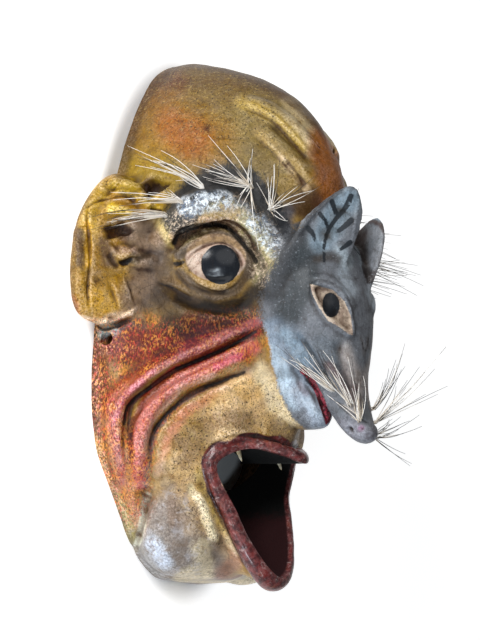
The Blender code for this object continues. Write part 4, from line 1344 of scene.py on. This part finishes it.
    # the brow's pale zones: pale paint and painted highlight
    setField(mesh, "browWhite", np.clip(
        zone([(188, 206), (202, 200), (222, 199)], 14) + zone([(258, 224), (268, 238), (277, 252)], 13)
        + 0.4 * zone([(222, 202), (240, 208), (258, 224)], 11), 0, 1))
    blackLine = np.array([
        (178, 218), (187, 204), (197, 191), (210, 183), (227, 180), (243, 186), (257, 197), (270, 211),
        (281, 231)], float)
    blackAway, blackAlong = nearLine(spots, blackLine)
    setField(mesh, "browBlack", np.clip(17 - 5 * smoothStep(blackAlong, 0.7, 1.0) - blackAway, -14, 17))
    setField(mesh, "jowlWear", zone([(160, 540), (185, 560), (170, 520)], 44))


paintFields(maskWood)
report("paint laid out")


# Materials.


class Wire:
    # A socket that can be added, multiplied and so on as a number can.
    def __init__(self, tree, socket=None):
        self.tree, self.socket = tree, socket

    def node(self, kind, settings=None, inputs=None, output=0):
        made = self.tree.nodes.new(kind)
        for name, value in (settings or {}).items():
            if name == "stops":
                ramp = made.color_ramp
                while len(ramp.elements) < len(value):
                    ramp.elements.new(0.5)
                for stop, (at, colour) in zip(ramp.elements, value):
                    stop.position, stop.color = at, (*colour, 1)
            else:
                setattr(made, name, value)
        for name, value in (inputs or {}).items():
            if isinstance(value, Wire):
                self.tree.links.new(value.socket, made.inputs[name])
            else:
                made.inputs[name].default_value = value
        return Wire(self.tree, made.outputs[output])

    def math(self, operation, *others, clamp=False):
        values = dict(enumerate((self, *others)))
        return self.node("ShaderNodeMath", {"operation": operation, "use_clamp": clamp}, values)

    def flipped(self, operation, other):
        return self.node("ShaderNodeMath", {"operation": operation}, {0: other, 1: self})

    def __add__(self, other):
        return self.math("ADD", other)

    def __sub__(self, other):
        return self.math("SUBTRACT", other)

    def __mul__(self, other):
        return self.math("MULTIPLY", other)

    def __truediv__(self, other):
        return self.math("DIVIDE", other)

    def __rsub__(self, other):
        return self.flipped("SUBTRACT", other)

    def __rtruediv__(self, other):
        return self.flipped("DIVIDE", other)

    __radd__ = __add__
    __rmul__ = __mul__

    def clamped(self):
        return self.math("ADD", 0.0, clamp=True)

    def larger(self, other):
        return self.math("MAXIMUM", other)

    def smaller(self, other):
        return self.math("MINIMUM", other)

    def between(self, low, high):
        # 0 below low and 1 above high, or the other way round where low is the higher.
        if low < high:
            return self.node(
                "ShaderNodeMapRange", {"interpolation_type": "SMOOTHSTEP"},
                {0: self, 1: low, 2: high, 3: 0.0, 4: 1.0})
        return self.node(
            "ShaderNodeMapRange", {"interpolation_type": "SMOOTHSTEP"},
            {0: self, 1: high, 2: low, 3: 1.0, 4: 0.0})

    def toned(self, saturation, value):
        return self.node(
            "ShaderNodeHueSaturation", {}, {"Saturation": saturation, "Value": value, "Color": self},
        )

    def stained(self, share, colour):
        # This colour multiplied by another, as far as the share says.
        return self.node(
            "ShaderNodeMix", {"data_type": "RGBA", "blend_type": "MULTIPLY", "clamp_factor": True},
            {0: share, 6: self, 7: (*colour, 1)}, 2)

    def blended(self, first, second, way="MIX"):
        # A colour between two, with this as the share of the second.
        def colour(value):
            return value if isinstance(value, Wire) else (*value, 1)
        return self.node(
            "ShaderNodeMix", {"data_type": "RGBA", "blend_type": way, "clamp_factor": True},
            {0: self, 6: colour(first), 7: colour(second)}, 2)


def newMaterial(name):
    made = bpy.data.materials.new(name)
    made.use_nodes = True
    made.node_tree.nodes.clear()
    return made, Wire(made.node_tree)


def finishMaterial(wire, shaderInputs, bump=None, bumpDistance=0.0002, bumpStrength=1.0):
    if bump is not None:
        shaderInputs["Normal"] = wire.node(
            "ShaderNodeBump", {}, {"Height": bump, "Strength": bumpStrength, "Distance": bumpDistance})
    shader = wire.node("ShaderNodeBsdfPrincipled", {}, shaderInputs)
    out = wire.tree.nodes.new("ShaderNodeOutputMaterial")
    wire.tree.links.new(shader.socket, out.inputs["Surface"])


def field(wire, name, colour=False):
    return wire.node("ShaderNodeAttribute", {"attribute_name": name}, {}, 0 if colour else 2)


def noiseAt(wire, place, size, detail=3.0, rough=0.55, twist=0.0, output=0):
    # Cloudy noise whose lumps are about size mm wide.
    return wire.node(
        "ShaderNodeTexNoise", {},
        {"Vector": place, "Scale": 1000 / size, "Detail": detail, "Roughness": rough, "Distortion": twist},
        output)


def cellsAt(wire, place, size, feature="F1", output=0, jitter=1.0):
    return wire.node(
        "ShaderNodeTexVoronoi", {"feature": feature},
        {"Vector": place, "Scale": 1000 / size, "Randomness": jitter}, output)


def stretched(wire, place, scale, turn=(0, 0, 0)):
    return wire.node("ShaderNodeMapping", {}, {"Vector": place, "Scale": scale, "Rotation": turn})


maskFinish = {
    "redFleck": (214, 138, 58),
    "redBright": (206, 66, 52),
    "redShadow": (66, 16, 18),
    "speckColour": (38, 30, 22),
    "lipColour": (104, 40, 38),
    "lipDark": (54, 17, 20),
    "lipCrust": (190, 172, 166),
    "throatRed": (38, 8, 11),
    # the black at the top of the mouth's inside is painted shade
    "throatShadeBlack": (8, 8, 6),
    "eyeWhite": (186, 164, 146),
    "irisColour": (20, 24, 30),
    "stripeColour": (24, 28, 33),
    "foxEyeColour": (176, 158, 138),
    "foxPupilColour": (18, 22, 27),
    "foxMouthColour": (150, 44, 60),
    "rawWood": (150, 112, 74),
    "rawWoodDark": (84, 58, 36),
}


def colourOf(name):
    return tuple(tint(*maskFinish[name]))


def maskMaterial():
    made, wire = newMaterial("carved painted wood")
    place = wire.node("ShaderNodeTexCoord", {}, {}, 3)
    tiny = noiseAt(wire, place, 0.7, 2, 0.6)
    fine = noiseAt(wire, place, 1.3, 4, 0.62)
    middling = noiseAt(wire, place, 4.0, 5, 0.6)
    wide = noiseAt(wire, place, 14, 4)
    patchy = noiseAt(wire, place, 7.5, 5, 0.62, 0.4)
    standOut = field(wire, "standOut")
    standOutWide = field(wire, "standOutWide")

    # the face's paint: its tone drifts at several scales, with brown dirt rubbed in
    face = field(wire, "facePaint", True)
    face = face.toned(
        1.12 + 0.7 * (patchy - 0.5),
        0.1 + fine * 0.9 + middling * 0.7 + (tiny - 0.5) * 0.4 + (wide - 0.5) * 0.35,
    )
    face = face.stained(patchy.between(0.52, 0.7) * 0.55, tuple(tint(178, 160, 140)))
    face = face.stained(middling.between(0.56, 0.7) * 0.5, tuple(tint(170, 146, 120)))

    stipple = field(wire, "stipple")
    grainPlace = stretched(wire, place, (1, 0.5, 1), (0.3, 0.2, 0.5))
    grain = noiseAt(wire, grainPlace, 1.0, 3, 0.62)
    flecks = (grain + (patchy - 0.5) * 0.3).between(0.5, 0.6) * stipple
    face = (flecks * (0.25 + 0.6 * patchy.between(0.4, 0.6))).blended(face, colourOf("redFleck"))
    redGrain = noiseAt(wire, grainPlace, 1.3, 3, 0.6, 0.3)
    face = (redGrain.between(0.54, 0.62) * stipple * 0.55).blended(face, colourOf("redBright"))
    face = (grain.between(0.45, 0.36) * stipple * 0.75).blended(face, colourOf("redShadow"))

    # dark specks in clusters, of several sizes, and a few pale ones
    specks = field(wire, "specks")
    cluster = noiseAt(wire, place, 9, 3, 0.6)
    bent = place.node("ShaderNodeVectorMath", {"operation": "MULTIPLY_ADD"}, {
        0: noiseAt(wire, place, 1.4, 2, 0.5, 0, 1), 1: (0.0011, 0.0011, 0.0011), 2: place})
    dots = None
    for size, hole, rarity in ((2.4, 0.26, 0.9), (1.5, 0.27, 0.84), (0.95, 0.3, 0.78)):
        cells = cellsAt(wire, bent, size)
        luck = wire.node("ShaderNodeSeparateColor", {}, {"Color": cellsAt(wire, bent, size, output=1)})
        spot = cells.between(hole, hole * 0.5) * (
            luck + (specks * 0.5 + cluster * 0.7 - 0.36)
        ).between(rarity, rarity + 0.05)
        dots = spot if dots is None else dots.larger(spot)
    dots = dots * (0.3 + 0.7 * specks).clamped()
    olive = specks * noiseAt(wire, place, 2.2, 6, 0.75).between(0.5, 0.62)
    face = (olive * 0.5).blended(face, tuple(tint(104, 84, 52)))
    gold = specks * noiseAt(wire, bent, 1.7, 5, 0.75).between(0.53, 0.62)
    face = (gold * 0.22).blended(face, tuple(tint(226, 194, 104)))
    face = (dots * 0.85).blended(face, colourOf("speckColour"))

    # the brow's bulge: tan wood, black paint over it, both rubbed through to crumbs of white and blue; in its pale
    # zones these crumbs are also painted highlight
    ragged = noiseAt(wire, place, 2.4, 6, 0.72)
    streaks = noiseAt(wire, stretched(wire, place, (1, 0.4, 1), (0.2, 0.1, 0.9)), 1.6, 5, 0.7)
    black = (field(wire, "browBlack") + (ragged - 0.5) * 20 + (streaks - 0.5) * 14).between(-6.5, 4.5)
    face = (black * 0.96).blended(
        face, middling.between(0.4, 0.6).blended(tuple(tint(22, 26, 32)), tuple(tint(44, 46, 50))),
    )
    bulge = field(wire, "browBulge")
    paleAndHighlightZone = field(wire, "browWhite")
    crumbs = noiseAt(wire, place, 1.5, 5, 0.75)
    face = (
        bulge * crumbs.between(0.52, 0.44) * (1 - black * 0.5) * 0.55
    ).blended(face, tuple(tint(84, 66, 54)))
    face = (
        bulge * (1 - paleAndHighlightZone * 0.6) * noiseAt(wire, place, 1.6, 6, 0.74).between(0.48, 0.62) * 0.75
    ).blended(face, tuple(tint(222, 198, 170)))
    face = (paleAndHighlightZone * patchy.between(0.38, 0.6) * 0.4).blended(face, tuple(tint(160, 168, 176)))
    blueCrumbs = noiseAt(wire, bent, 2.2, 5, 0.74).between(0.48, 0.6) * paleAndHighlightZone
    face = (blueCrumbs * 0.65).blended(face, tuple(tint(84, 104, 130)))
    clumps = noiseAt(wire, place, 4.2, 7, 0.74, 0.6)
    whiteCrumbs = (clumps + (crumbs - 0.5) * 0.4).between(0.45, 0.6) * paleAndHighlightZone
    face = (whiteCrumbs * 0.92).blended(
        face, tiny.between(0.42, 0.6).blended(tuple(tint(196, 206, 214)), tuple(tint(240, 244, 248))),
    )
    face = (
        paleAndHighlightZone * noiseAt(wire, place, 1.8, 5, 0.72, 0.5).between(0.58, 0.64) * 0.8
    ).blended(face, tuple(tint(30, 34, 44)))

    # worn jowl: pale and brown patches over each other
    wear = field(wire, "jowlWear")
    face = (
        wear * (patchy + (fine - 0.5) * 0.16).between(0.5, 0.64) * 0.36
    ).blended(face, tuple(tint(186, 184, 188)))
    face = (
        wear * (patchy + (fine - 0.5) * 0.16).between(0.47, 0.34) * 0.6
    ).blended(face, tuple(tint(112, 92, 76)))
    face = (wear * crumbs.between(0.6, 0.7) * 0.25).blended(face, tuple(tint(216, 220, 228)))

    # the fox: slate with a drift of blue, brushed along the head
    fox = field(wire, "foxPaint", True)
    brushed = noiseAt(wire, stretched(wire, place, (1, 0.35, 1)), 3.0, 5, 0.6)
    fox = fox.toned(
        0.9 + 1.2 * (patchy - 0.5),
        0.12 + 0.95 * brushed + (middling - 0.5) * 0.5 + 0.7 * fine + (tiny - 0.5) * 0.5,
    )
    fox = fox.stained(patchy.between(0.5, 0.66) * 0.6, tuple(tint(190, 178, 168)))
    fox = (dots * 0.4).blended(fox, tuple(tint(44, 42, 42)))
    fox = (
        noiseAt(wire, grainPlace, 1.2, 5, 0.74).between(0.54, 0.66) * 0.4
    ).blended(fox, tuple(tint(48, 50, 54)))
    fox = (crumbs.between(0.56, 0.68) * 0.28).blended(fox, tuple(tint(168, 176, 184)))
    raggedness = (fine - 0.5) * 2.4
    stripes = (field(wire, "earStripes") + raggedness).between(-0.5, 0.6)
    fox = (stripes * 0.94).blended(fox, colourOf("stripeColour"))
    foxMouth = (field(wire, "foxMouth") + raggedness).between(-0.4, 0.5)
    fox = foxMouth.blended(
        fox, fine.between(0.4, 0.62).blended(colourOf("foxMouthColour"), tuple(tint(62, 14, 26))),
    )
    fox = (foxMouth * crumbs.between(0.6, 0.68) * 0.5).blended(fox, tuple(tint(176, 140, 146)))
    foxEye = (field(wire, "foxEyeEdge") + raggedness).between(-0.3, 0.5)
    tan = middling.between(0.4, 0.6).blended(colourOf("foxEyeColour"), tuple(tint(140, 120, 104)))
    tan = (fine.between(0.54, 0.66) * 0.7).blended(tan, tuple(tint(88, 72, 62)))
    tan = (crumbs.between(0.6, 0.68) * 0.5).blended(tan, tuple(tint(206, 198, 190)))
    fox = foxEye.blended(fox, tan)
    foxPupil = (field(wire, "foxPupilEdge") + raggedness * 0.8).between(-0.3, 0.4)
    pupilTone = (fine.between(0.6, 0.7) * 0.4).blended(colourOf("foxPupilColour"), tuple(tint(72, 82, 92)))
    fox = foxPupil.blended(fox, pupilTone)

    foxShare = (field(wire, "foxEdge") + (fine - 0.5) * 3.2 + (ragged - 0.5) * 2.4).between(-0.9, 0.9)
    paint = foxShare.blended(face, fox)

    # eye
    eyeShare = (field(wire, "eyeEdge") + (fine - 0.5) * 1.0).between(-0.8, 0.6) * (1 - foxShare)
    white = middling.between(0.4, 0.66).blended(colourOf("eyeWhite"), tuple(tint(160, 130, 112)))
    white = (fine.between(0.55, 0.66) * 0.6).blended(white, tuple(tint(104, 82, 66)))
    lidShare = (field(wire, "lidTone") + (fine - 0.5) * 2).between(0.0, 2.5)
    lidPaint = middling.between(0.4, 0.62).blended(tuple(tint(146, 118, 84)), tuple(tint(104, 80, 56)))
    white = lidShare.blended(white, lidPaint)
    paint = eyeShare.blended(paint, white)
    irisShare = (field(wire, "irisEdge") + (middling - 0.5) * 2.6).between(-0.3, 0.5) * (1 - foxShare)
    dust = noiseAt(wire, place, 0.8, 4, 0.7).between(0.64, 0.7) * 0.6
    iris = (dust * patchy.between(0.4, 0.6)).blended(colourOf("irisColour"), tuple(tint(110, 116, 122)))
    paint = irisShare.blended(paint, iris)

    # lips, with a pale crust on their inner edge
    lipShare = (field(wire, "lipEdge") + (middling - 0.5) * 1.6).between(-0.5, 0.5) * (1 - foxShare)
    lipPaint = middling.between(0.35, 0.65).blended(colourOf("lipColour"), colourOf("lipDark"))
    lipPaint = (patchy.between(0.55, 0.68) * 0.5).blended(lipPaint, tuple(tint(136, 66, 50)))
    lipPaint = (
        (clumps + (crumbs - 0.5) * 0.3).between(0.52, 0.7) * 0.36
    ).blended(lipPaint, colourOf("lipCrust"))
    paint = lipShare.blended(paint, lipPaint)

    # dark lines in the creases, dark paint and painted shade; dirt and painted shade in the hollows; worn ridges
    # with a painted sheen
    lines = (field(wire, "darkLines") + (fine - 0.5) * 3.2).between(-0.9, 0.7)
    paint = (lines * 0.9).blended(paint, tuple(tint(22, 17, 14)))
    hollowDirtAndShade = (
        (standOut * -3.4).clamped() * 0.5 + (standOutWide * -0.8).clamped() * 0.45
    ) * (0.6 + 0.8 * middling)
    paint = paint.stained(hollowDirtAndShade.clamped(), tuple(tint(104, 80, 62)))
    wornAndSheenRidges = (standOut * 3.0).clamped() * fine.between(0.38, 0.6) * 0.7 * (1 - foxShare * 0.5)
    paint = wornAndSheenRidges.blended(paint, paint.toned(0.72, 1.9))

    # hairline cracks in the paint
    cracks = cellsAt(wire, stretched(wire, bent, (1, 0.6, 1)), 7.0, "DISTANCE_TO_EDGE").between(0.02, 0.006)
    cracks = cracks * wide.between(0.5, 0.58)
    paint = (cracks * 0.35).blended(paint, tuple(tint(50, 38, 28)))

    # inside the mouth, its red turning black towards the top as painted shade, and the raw back
    throat = field(wire, "throat").between(0.3, 0.7)
    height = wire.node("ShaderNodeSeparateXYZ", {}, {"Vector": place}, 1)
    throatPaintAndShade = (
        middling * 0.5 + (height * 1000 + 118) * 0.03 + 0.25
    ).between(0.4, 0.7).blended(colourOf("throatRed"), colourOf("throatShadeBlack"))
    paint = throat.blended(paint, throatPaintAndShade)
    raw = field(wire, "rawWood").between(0.3, 0.7)
    rings = noiseAt(wire, stretched(wire, place, (1, 0.06, 1)), 1.6, 5, 0.6)
    wood = rings.between(0.35, 0.68).blended(colourOf("rawWood"), colourOf("rawWoodDark"))
    wood = (patchy.between(0.48, 0.62) * 0.55).blended(wood, tuple(tint(70, 50, 34)))
    wood = ((standOut * -3).clamped() * 0.5).blended(wood, tuple(tint(52, 36, 24)))
    paint = raw.blended(paint, wood)

    gloss = 0.4 + 0.14 * middling + 0.12 * (fine - 0.5) + hollowDirtAndShade * 0.18 + dots * 0.15 - lipShare * 0.08
    gloss = gloss * (1 - irisShare) + irisShare * (0.2 + 0.1 * dust)
    gloss = gloss * (1 - raw) + raw * (0.62 + 0.15 * rings)
    gloss = gloss * (1 - throat) + throat * (0.86 + 0.1 * fine)
    bump = fine * 0.7 + tiny * 0.3 + middling * 0.8 + flecks * 0.3 - dots * 0.6 - cracks * 0.5 - lines * 0.4
    bump = bump + bulge * crumbs * 1.6 + wear * crumbs * 0.5
    bump = bump * (1 - irisShare * 0.85) + raw * rings * 0.8
    finishMaterial(
        wire, {
            "Base Color": paint, "Roughness": gloss, "Specular IOR Level": 0.28,
            "Coat Weight": (1 - raw) * (1 - throat) * (0.03 + 0.6 * irisShare + 0.3 * lipShare),
            "Coat Roughness": 0.18},
        bump, 0.00028)
    return made


maskPiece = newObject("mask_carving", maskWood)
maskWood.materials.append(maskMaterial())
report("mask painted")


# Teeth.


def toothMaterial():
    made, wire = newMaterial("tooth ivory")
    place = wire.node("ShaderNodeTexCoord", {}, {}, 3)
    stain = noiseAt(wire, place, 2.2, 4)
    streak = noiseAt(wire, stretched(wire, place, (1, 0.25, 1)), 0.6, 3)
    colour = stain.between(0.35, 0.7).blended(tuple(tint(224, 214, 188)), tuple(tint(186, 162, 118)))
    colour = (streak.between(0.5, 0.7) * 0.4).blended(colour, tuple(tint(130, 102, 72)))
    finishMaterial(
        wire, {"Base Color": colour, "Roughness": 0.3 + 0.15 * stain, "Coat Weight": 0.2 + 0.1 * stain},
        streak, 0.0001,
    )
    return made


def toothMesh(name, root):
    # A carved peg, a little bent and flattened, sunk in its hole.
    aim = Vector(tooth["aim"]).normalized()
    side = Vector((1, 0, 0))
    front = aim.cross(side)
    sunk, length, radius = tooth["depth"] * mm, tooth["length"] * mm, tooth["diameter"] / 2 * mm
    rings = []
    steps = 22
    for i in range(steps + 1):
        s = i / steps
        along = -sunk + (length + sunk) * s
        taper = max(0.0, 1 - max(0.0, along / length) ** 1.7) ** 0.62 if along > 0 else 1
        bend = 0.9 * mm * (max(0.0, along) / length) ** 2
        ring = []
        for k in range(20):
            angle = 2 * math.pi * k / 20
            bumpPlace = Vector((math.cos(angle) * 1.5, math.sin(angle) * 1.5, s * 5 + root.x * 90))
            uneven = 1 + 0.07 * noise.noise(bumpPlace)
            thick = max(radius * taper * uneven, 0.05 * mm)
            ring.append(
                (
                    root + aim * along + side * math.cos(angle) * thick
                    + front * (math.sin(angle) * thick * 0.86 + bend)
                )
                / mm
            )
        rings.append(ring)
    mesh = loft(name, rings)
    mesh.shade_smooth()
    mesh.set_sharp_from_angle(angle=math.radians(60))
    return mesh


toothPaint = toothMaterial()
for name, root in toothRoots.items():
    mesh = toothMesh(name, root)
    mesh.materials.append(toothPaint)
    piece = newObject(name + "_peg", mesh)
    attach(piece, "root")
    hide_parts(name)
report("teeth set")

# Bristles.

bristle = {
    "rootRadius": 0.3, "tipRadius": 0.1, "rootSpread": 0.75, "sway": 1.9, "shortest": 0.62, "sink": 3.0,
    "sides": 5, "points": 9,
}


def bristleMaterial():
    made, wire = newMaterial("hog bristle")
    place = wire.node("ShaderNodeTexCoord", {}, {}, 3)
    along = field(wire, "along")
    tone = field(wire, "tone")
    clouds = noiseAt(wire, place, 9, 3)
    pale = tone.between(0.2, 0.9).blended(tuple(tint(238, 232, 224)), tuple(tint(206, 190, 168)))
    dark = tone.between(0.3, 0.7).blended(tuple(tint(70, 52, 40)), tuple(tint(34, 30, 30)))
    colour = ((along - 0.8 + (tone - 0.5) * 1.1 + (clouds - 0.5) * 0.5).between(-0.1, 0.16)).blended(pale, dark)
    colour = (clouds.between(0.58, 0.75) * 0.35).blended(colour, tuple(tint(150, 128, 104)))
    finishMaterial(
        wire, {"Base Color": colour, "Roughness": 0.42 + 0.2 * (clouds - 0.5)},
        noiseAt(wire, place, 0.5, 2), 0.00005,
    )
    return made


def bristleTree(material):
    tree = bpy.data.node_groups.new("bristlesFromGuides", "GeometryNodeTree")
    made = tree.interface
    made.new_socket("Guides", in_out="INPUT", socket_type="NodeSocketGeometry")
    for name, kind in (
        ("Copies", "NodeSocketInt"), ("Points", "NodeSocketInt"), ("Sides", "NodeSocketInt"),
        ("Seed", "NodeSocketInt"),
        ("Fan", "NodeSocketFloat"), ("Root Spread", "NodeSocketFloat"), ("Sway", "NodeSocketFloat"),
        ("Shortest", "NodeSocketFloat"), ("Root Radius", "NodeSocketFloat"),
        ("Tip Radius", "NodeSocketFloat"),
        ("Far Side Shade", "NodeSocketFloat"),
    ):
        made.new_socket(name, in_out="INPUT", socket_type=kind)
    made.new_socket("Bristles", in_out="OUTPUT", socket_type="NodeSocketGeometry")
    source = tree.nodes.new("NodeGroupInput")

    def add(kind, settings=None, inputs=None):
        step = tree.nodes.new(kind)
        for key, value in (settings or {}).items():
            setattr(step, key, value)
        for key, value in (inputs or {}).items():
            if isinstance(value, bpy.types.NodeSocket):
                tree.links.new(value, step.inputs[key])
            else:
                step.inputs[key].default_value = value
        return step

    def maths(operation, a, b):
        return add("ShaderNodeMath", {"operation": operation}, {0: a, 1: b}).outputs[0]

    def scaled(vector, by):
        return add("ShaderNodeVectorMath", {"operation": "SCALE"}, {0: vector, "Scale": by}).outputs[0]

    def summed(a, b):
        return add("ShaderNodeVectorMath", {"operation": "ADD"}, {0: a, 1: b}).outputs[0]

    curves = add("GeometryNodeMeshToCurve", {}, {"Mesh": source.outputs["Guides"]})
    copies = add(
        "GeometryNodeDuplicateElements", {"domain": "SPLINE"},
        {"Geometry": curves.outputs[0], "Amount": source.outputs["Copies"]},
    )
    index = add("GeometryNodeInputIndex")
    onCurve = add("GeometryNodeFieldOnDomain", {"domain": "CURVE", "data_type": "INT"}, {0: index.outputs[0]})

    def chance(kind, offset, low, high, output):
        first = 0 if kind == "FLOAT_VECTOR" else 2
        seed = maths("ADD", source.outputs["Seed"], offset)
        return add(
            "FunctionNodeRandomValue", {"data_type": kind},
            {first: low, first + 1: high, "ID": onCurve.outputs[0], "Seed": seed}).outputs[output]

    cutBack = add(
        "GeometryNodeTrimCurve", {"mode": "FACTOR"},
        {0: copies.outputs[0], 2: 0.0, 3: chance("FLOAT", 11, source.outputs["Shortest"], 1.0, 1)},
    )
    even = add(
        "GeometryNodeResampleCurve", {}, {"Curve": cutBack.outputs[0], "Count": source.outputs["Points"]},
    )
    along = add("GeometryNodeSplineParameter").outputs["Factor"]
    fan = scaled(
        chance("FLOAT_VECTOR", 1, (-1, -1, -1), (1, 1, 1), 0),
        maths("MULTIPLY", source.outputs["Fan"], maths("POWER", along, 1.25)),
    )
    roots = scaled(chance("FLOAT_VECTOR", 2, (-1, -1, -1), (1, 1, 1), 0), source.outputs["Root Spread"])
    bow = maths("MULTIPLY", along, maths("SUBTRACT", 1.0, along))
    sway = scaled(
        chance("FLOAT_VECTOR", 3, (-4, -4, -4), (4, 4, 4), 0),
        maths("MULTIPLY", source.outputs["Sway"], bow),
    )
    moved = add(
        "GeometryNodeSetPosition", {},
        {"Geometry": even.outputs[0], "Offset": summed(summed(fan, roots), sway)},
    )
    tone = maths("ADD", chance("FLOAT", 21, 0.0, 1.0, 1), source.outputs["Far Side Shade"])
    thinner = add(
        "ShaderNodeMapRange", {},
        {0: along, 1: 0.0, 2: 1.0, 3: source.outputs["Root Radius"], 4: source.outputs["Tip Radius"]},
    )
    keepAlong = add(
        "GeometryNodeStoreNamedAttribute", {"data_type": "FLOAT", "domain": "POINT"},
        {"Geometry": moved.outputs[0], "Name": "along", "Value": along},
    )
    keepTone = add(
        "GeometryNodeStoreNamedAttribute", {"data_type": "FLOAT", "domain": "POINT"},
        {"Geometry": keepAlong.outputs[0], "Name": "tone", "Value": tone},
    )
    ring = add(
        "GeometryNodeCurvePrimitiveCircle", {"mode": "RADIUS"},
        {"Resolution": source.outputs["Sides"], "Radius": 1.0},
    )
    tubes = add(
        "GeometryNodeCurveToMesh", {},
        {
            "Curve": keepTone.outputs[0],
            "Profile Curve": ring.outputs[0],
            "Scale": thinner.outputs[0],
            "Fill Caps": True,
        },
    )
    smooth = add("GeometryNodeSetShadeSmooth", {}, {0: tubes.outputs[0]})
    real = add("GeometryNodeRealizeInstances", {}, {0: smooth.outputs[0]})
    painted = add("GeometryNodeSetMaterial", {}, {"Geometry": real.outputs[0], "Material": material})
    out = tree.nodes.new("NodeGroupOutput")
    tree.links.new(painted.outputs[0], out.inputs[0])
    return tree


def guideLines(tuft):
    # The tuft's guides: from inside its hole, out past its mouth, and over the skin to the tip.
    root, normal = tuft["root"], tuft["normal"]
    start = root - normal * bristle["sink"] * mm
    lines = []
    for tip in tuft.get("tips", []):
        rootPixel = pixelsOf(np.array([root]))[0]
        rootDepth = (viewPlace - root).dot(viewBack)
        ray = pixelRay(*tip)
        depth = rootDepth
        hit = skinShape.ray_cast(viewPlace, ray)[0]
        if hit is not None:
            depth = min(depth, (viewPlace - hit).dot(viewBack) - 0.004)
        end = viewPlace + ray * (depth / -ray.dot(viewBack))
        lines.append((start, root + normal * 0.0015, end))
    for way in tuft.get("ways", []):
        lines.append((start, root + normal * 0.0015, root + normal * 0.003 + Vector(way) * mm))
    made = []
    for start, mouthOf, end in lines:
        reach = (end - mouthOf).length
        middle = mouthOf.lerp(end, 0.45) + normal * reach * 0.07
        made.append(
            [
                start, mouthOf, mouthOf.lerp(end, 0.2) + normal * reach * 0.05, middle,
                mouthOf.lerp(end, 0.75) + normal * reach * 0.04, end,
            ]
        )
    return made


hair = bristleMaterial()
hairTree = bristleTree(hair)
socketOf = {item.name: item.identifier for item in hairTree.interface.items_tree if item.in_out == "INPUT"}
hairFaces = 0
for number, (name, tuft) in enumerate(tufts.items()):
    mesh = bpy.data.meshes.new(name)
    points, edges = [], []
    for line in guideLines(tuft):
        edges += [(len(points) + i, len(points) + i + 1) for i in range(len(line) - 1)]
        points += [tuple(p) for p in line]
    mesh.from_pydata(points, edges, [])
    obj = newObject(name, mesh)
    grow = obj.modifiers.new("bristles", "NODES")
    grow.node_group = hairTree
    thick = 1 if tuft["kind"] == "brow" else 0.85
    values = {
        "Copies": tuft["copies"], "Points": bristle["points"], "Sides": bristle["sides"], "Seed": 17 + number,
        "Fan": tuft["fan"] * mm, "Root Spread": bristle["rootSpread"] * mm * thick,
        "Sway": bristle["sway"] * mm,
        "Shortest": bristle["shortest"], "Root Radius": bristle["rootRadius"] * mm * thick,
        "Tip Radius": bristle["tipRadius"] * mm,
        # The far side's tufts are made darker than the same hair on the near side: painted shade.
        "Far Side Shade": 0.4 if "left" in name else -0.05,
    }
    for key, value in values.items():
        grow[socketOf[key]] = value
    grown = plainMesh(obj)
    grown.name = name + "_bristles"
    piece = newObject(name + "_bristles", grown)
    if not grown.materials:
        grown.materials.append(hair)
    hairFaces += len(grown.polygons)
    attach(piece, "root")
    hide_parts(name)
report(f"bristles grown, {hairFaces} faces")

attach(maskPiece, "root")
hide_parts("mask")

# Floor and light.


def addFloor():
    made, wire = newMaterial("pale floor")
    place = wire.node("ShaderNodeTexCoord", {}, {}, 3)
    cloud = noiseAt(wire, place, 400, 2)
    colour = cloud.blended((0.86, 0.86, 0.86), (0.88, 0.88, 0.88))
    # The floor glows a little, except under the mask, where it is as dark as it would be.
    footprint = stretched(wire, place, (1 / 0.094, 1 / 0.17, 1))
    outside = footprint.node("ShaderNodeVectorMath", {"operation": "LENGTH"}, {0: footprint}, 1).between(0.9, 1.02)
    finishMaterial(wire, {
        "Base Color": colour, "Roughness": 0.9 + 0.05 * cloud,
        "Emission Color": outside.blended((0, 0, 0), (1, 1, 1)), "Emission Strength": 0.72})
    bm = bmesh.new()
    bmesh.ops.create_circle(bm, cap_ends=True, segments=64, radius=4)
    floor = newObject("floor", meshFrom(bm, "floor"))
    floor.data.materials.append(made)


def addLight(name, right, up, back, size, power, colour):
    # An area light placed by how far right of, above and in front of the mask it is, as the photograph looks.
    data = bpy.data.lights.new(name, "AREA")
    data.shape = "DISK"
    data.size = size
    data.energy = power
    data.color = colour
    light = bpy.data.objects.new(name, data)
    place = viewTarget + viewRight * right + viewUp * up + viewBack * back
    turn = (place - viewTarget).to_track_quat("Z", "Y").to_matrix().to_4x4()
    light.matrix_world = Matrix.Translation(place) @ turn
    bpy.context.scene.collection.objects.link(light)
    if place.z < 0.05:
        print("a light lies under the floor:", name)


# Each light: right, up and back from the target in metres, size, power and colour.
lights = {
    "keyLight": (-0.35, 0.75, 1.1, 0.5, 14, (1, 1, 1)),
    "lowWindow": (-0.42, -0.8, 1.15, 0.3, 9, (0.78, 0.89, 1.0)),
    "sideFill": (0.6, 0.5, 0.9, 0.9, 1.5, (1, 1, 1)),
    "glint": (0.27, -0.2, 1.23, 0.16, 1.4, (0.8, 0.91, 1.0)),
}
addFloor()
for lightName, settings in lights.items():
    addLight(lightName, *settings)
bpy.context.scene.view_settings.view_transform = "Standard"
world = bpy.data.worlds.new("soft light")
world.use_nodes = True
world.node_tree.nodes["Background"].inputs["Color"].default_value = (1, 1, 1, 1)
world.node_tree.nodes["Background"].inputs["Strength"].default_value = 0.2
bpy.context.scene.world = world
report("floor and lights set")

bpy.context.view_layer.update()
report("finished")
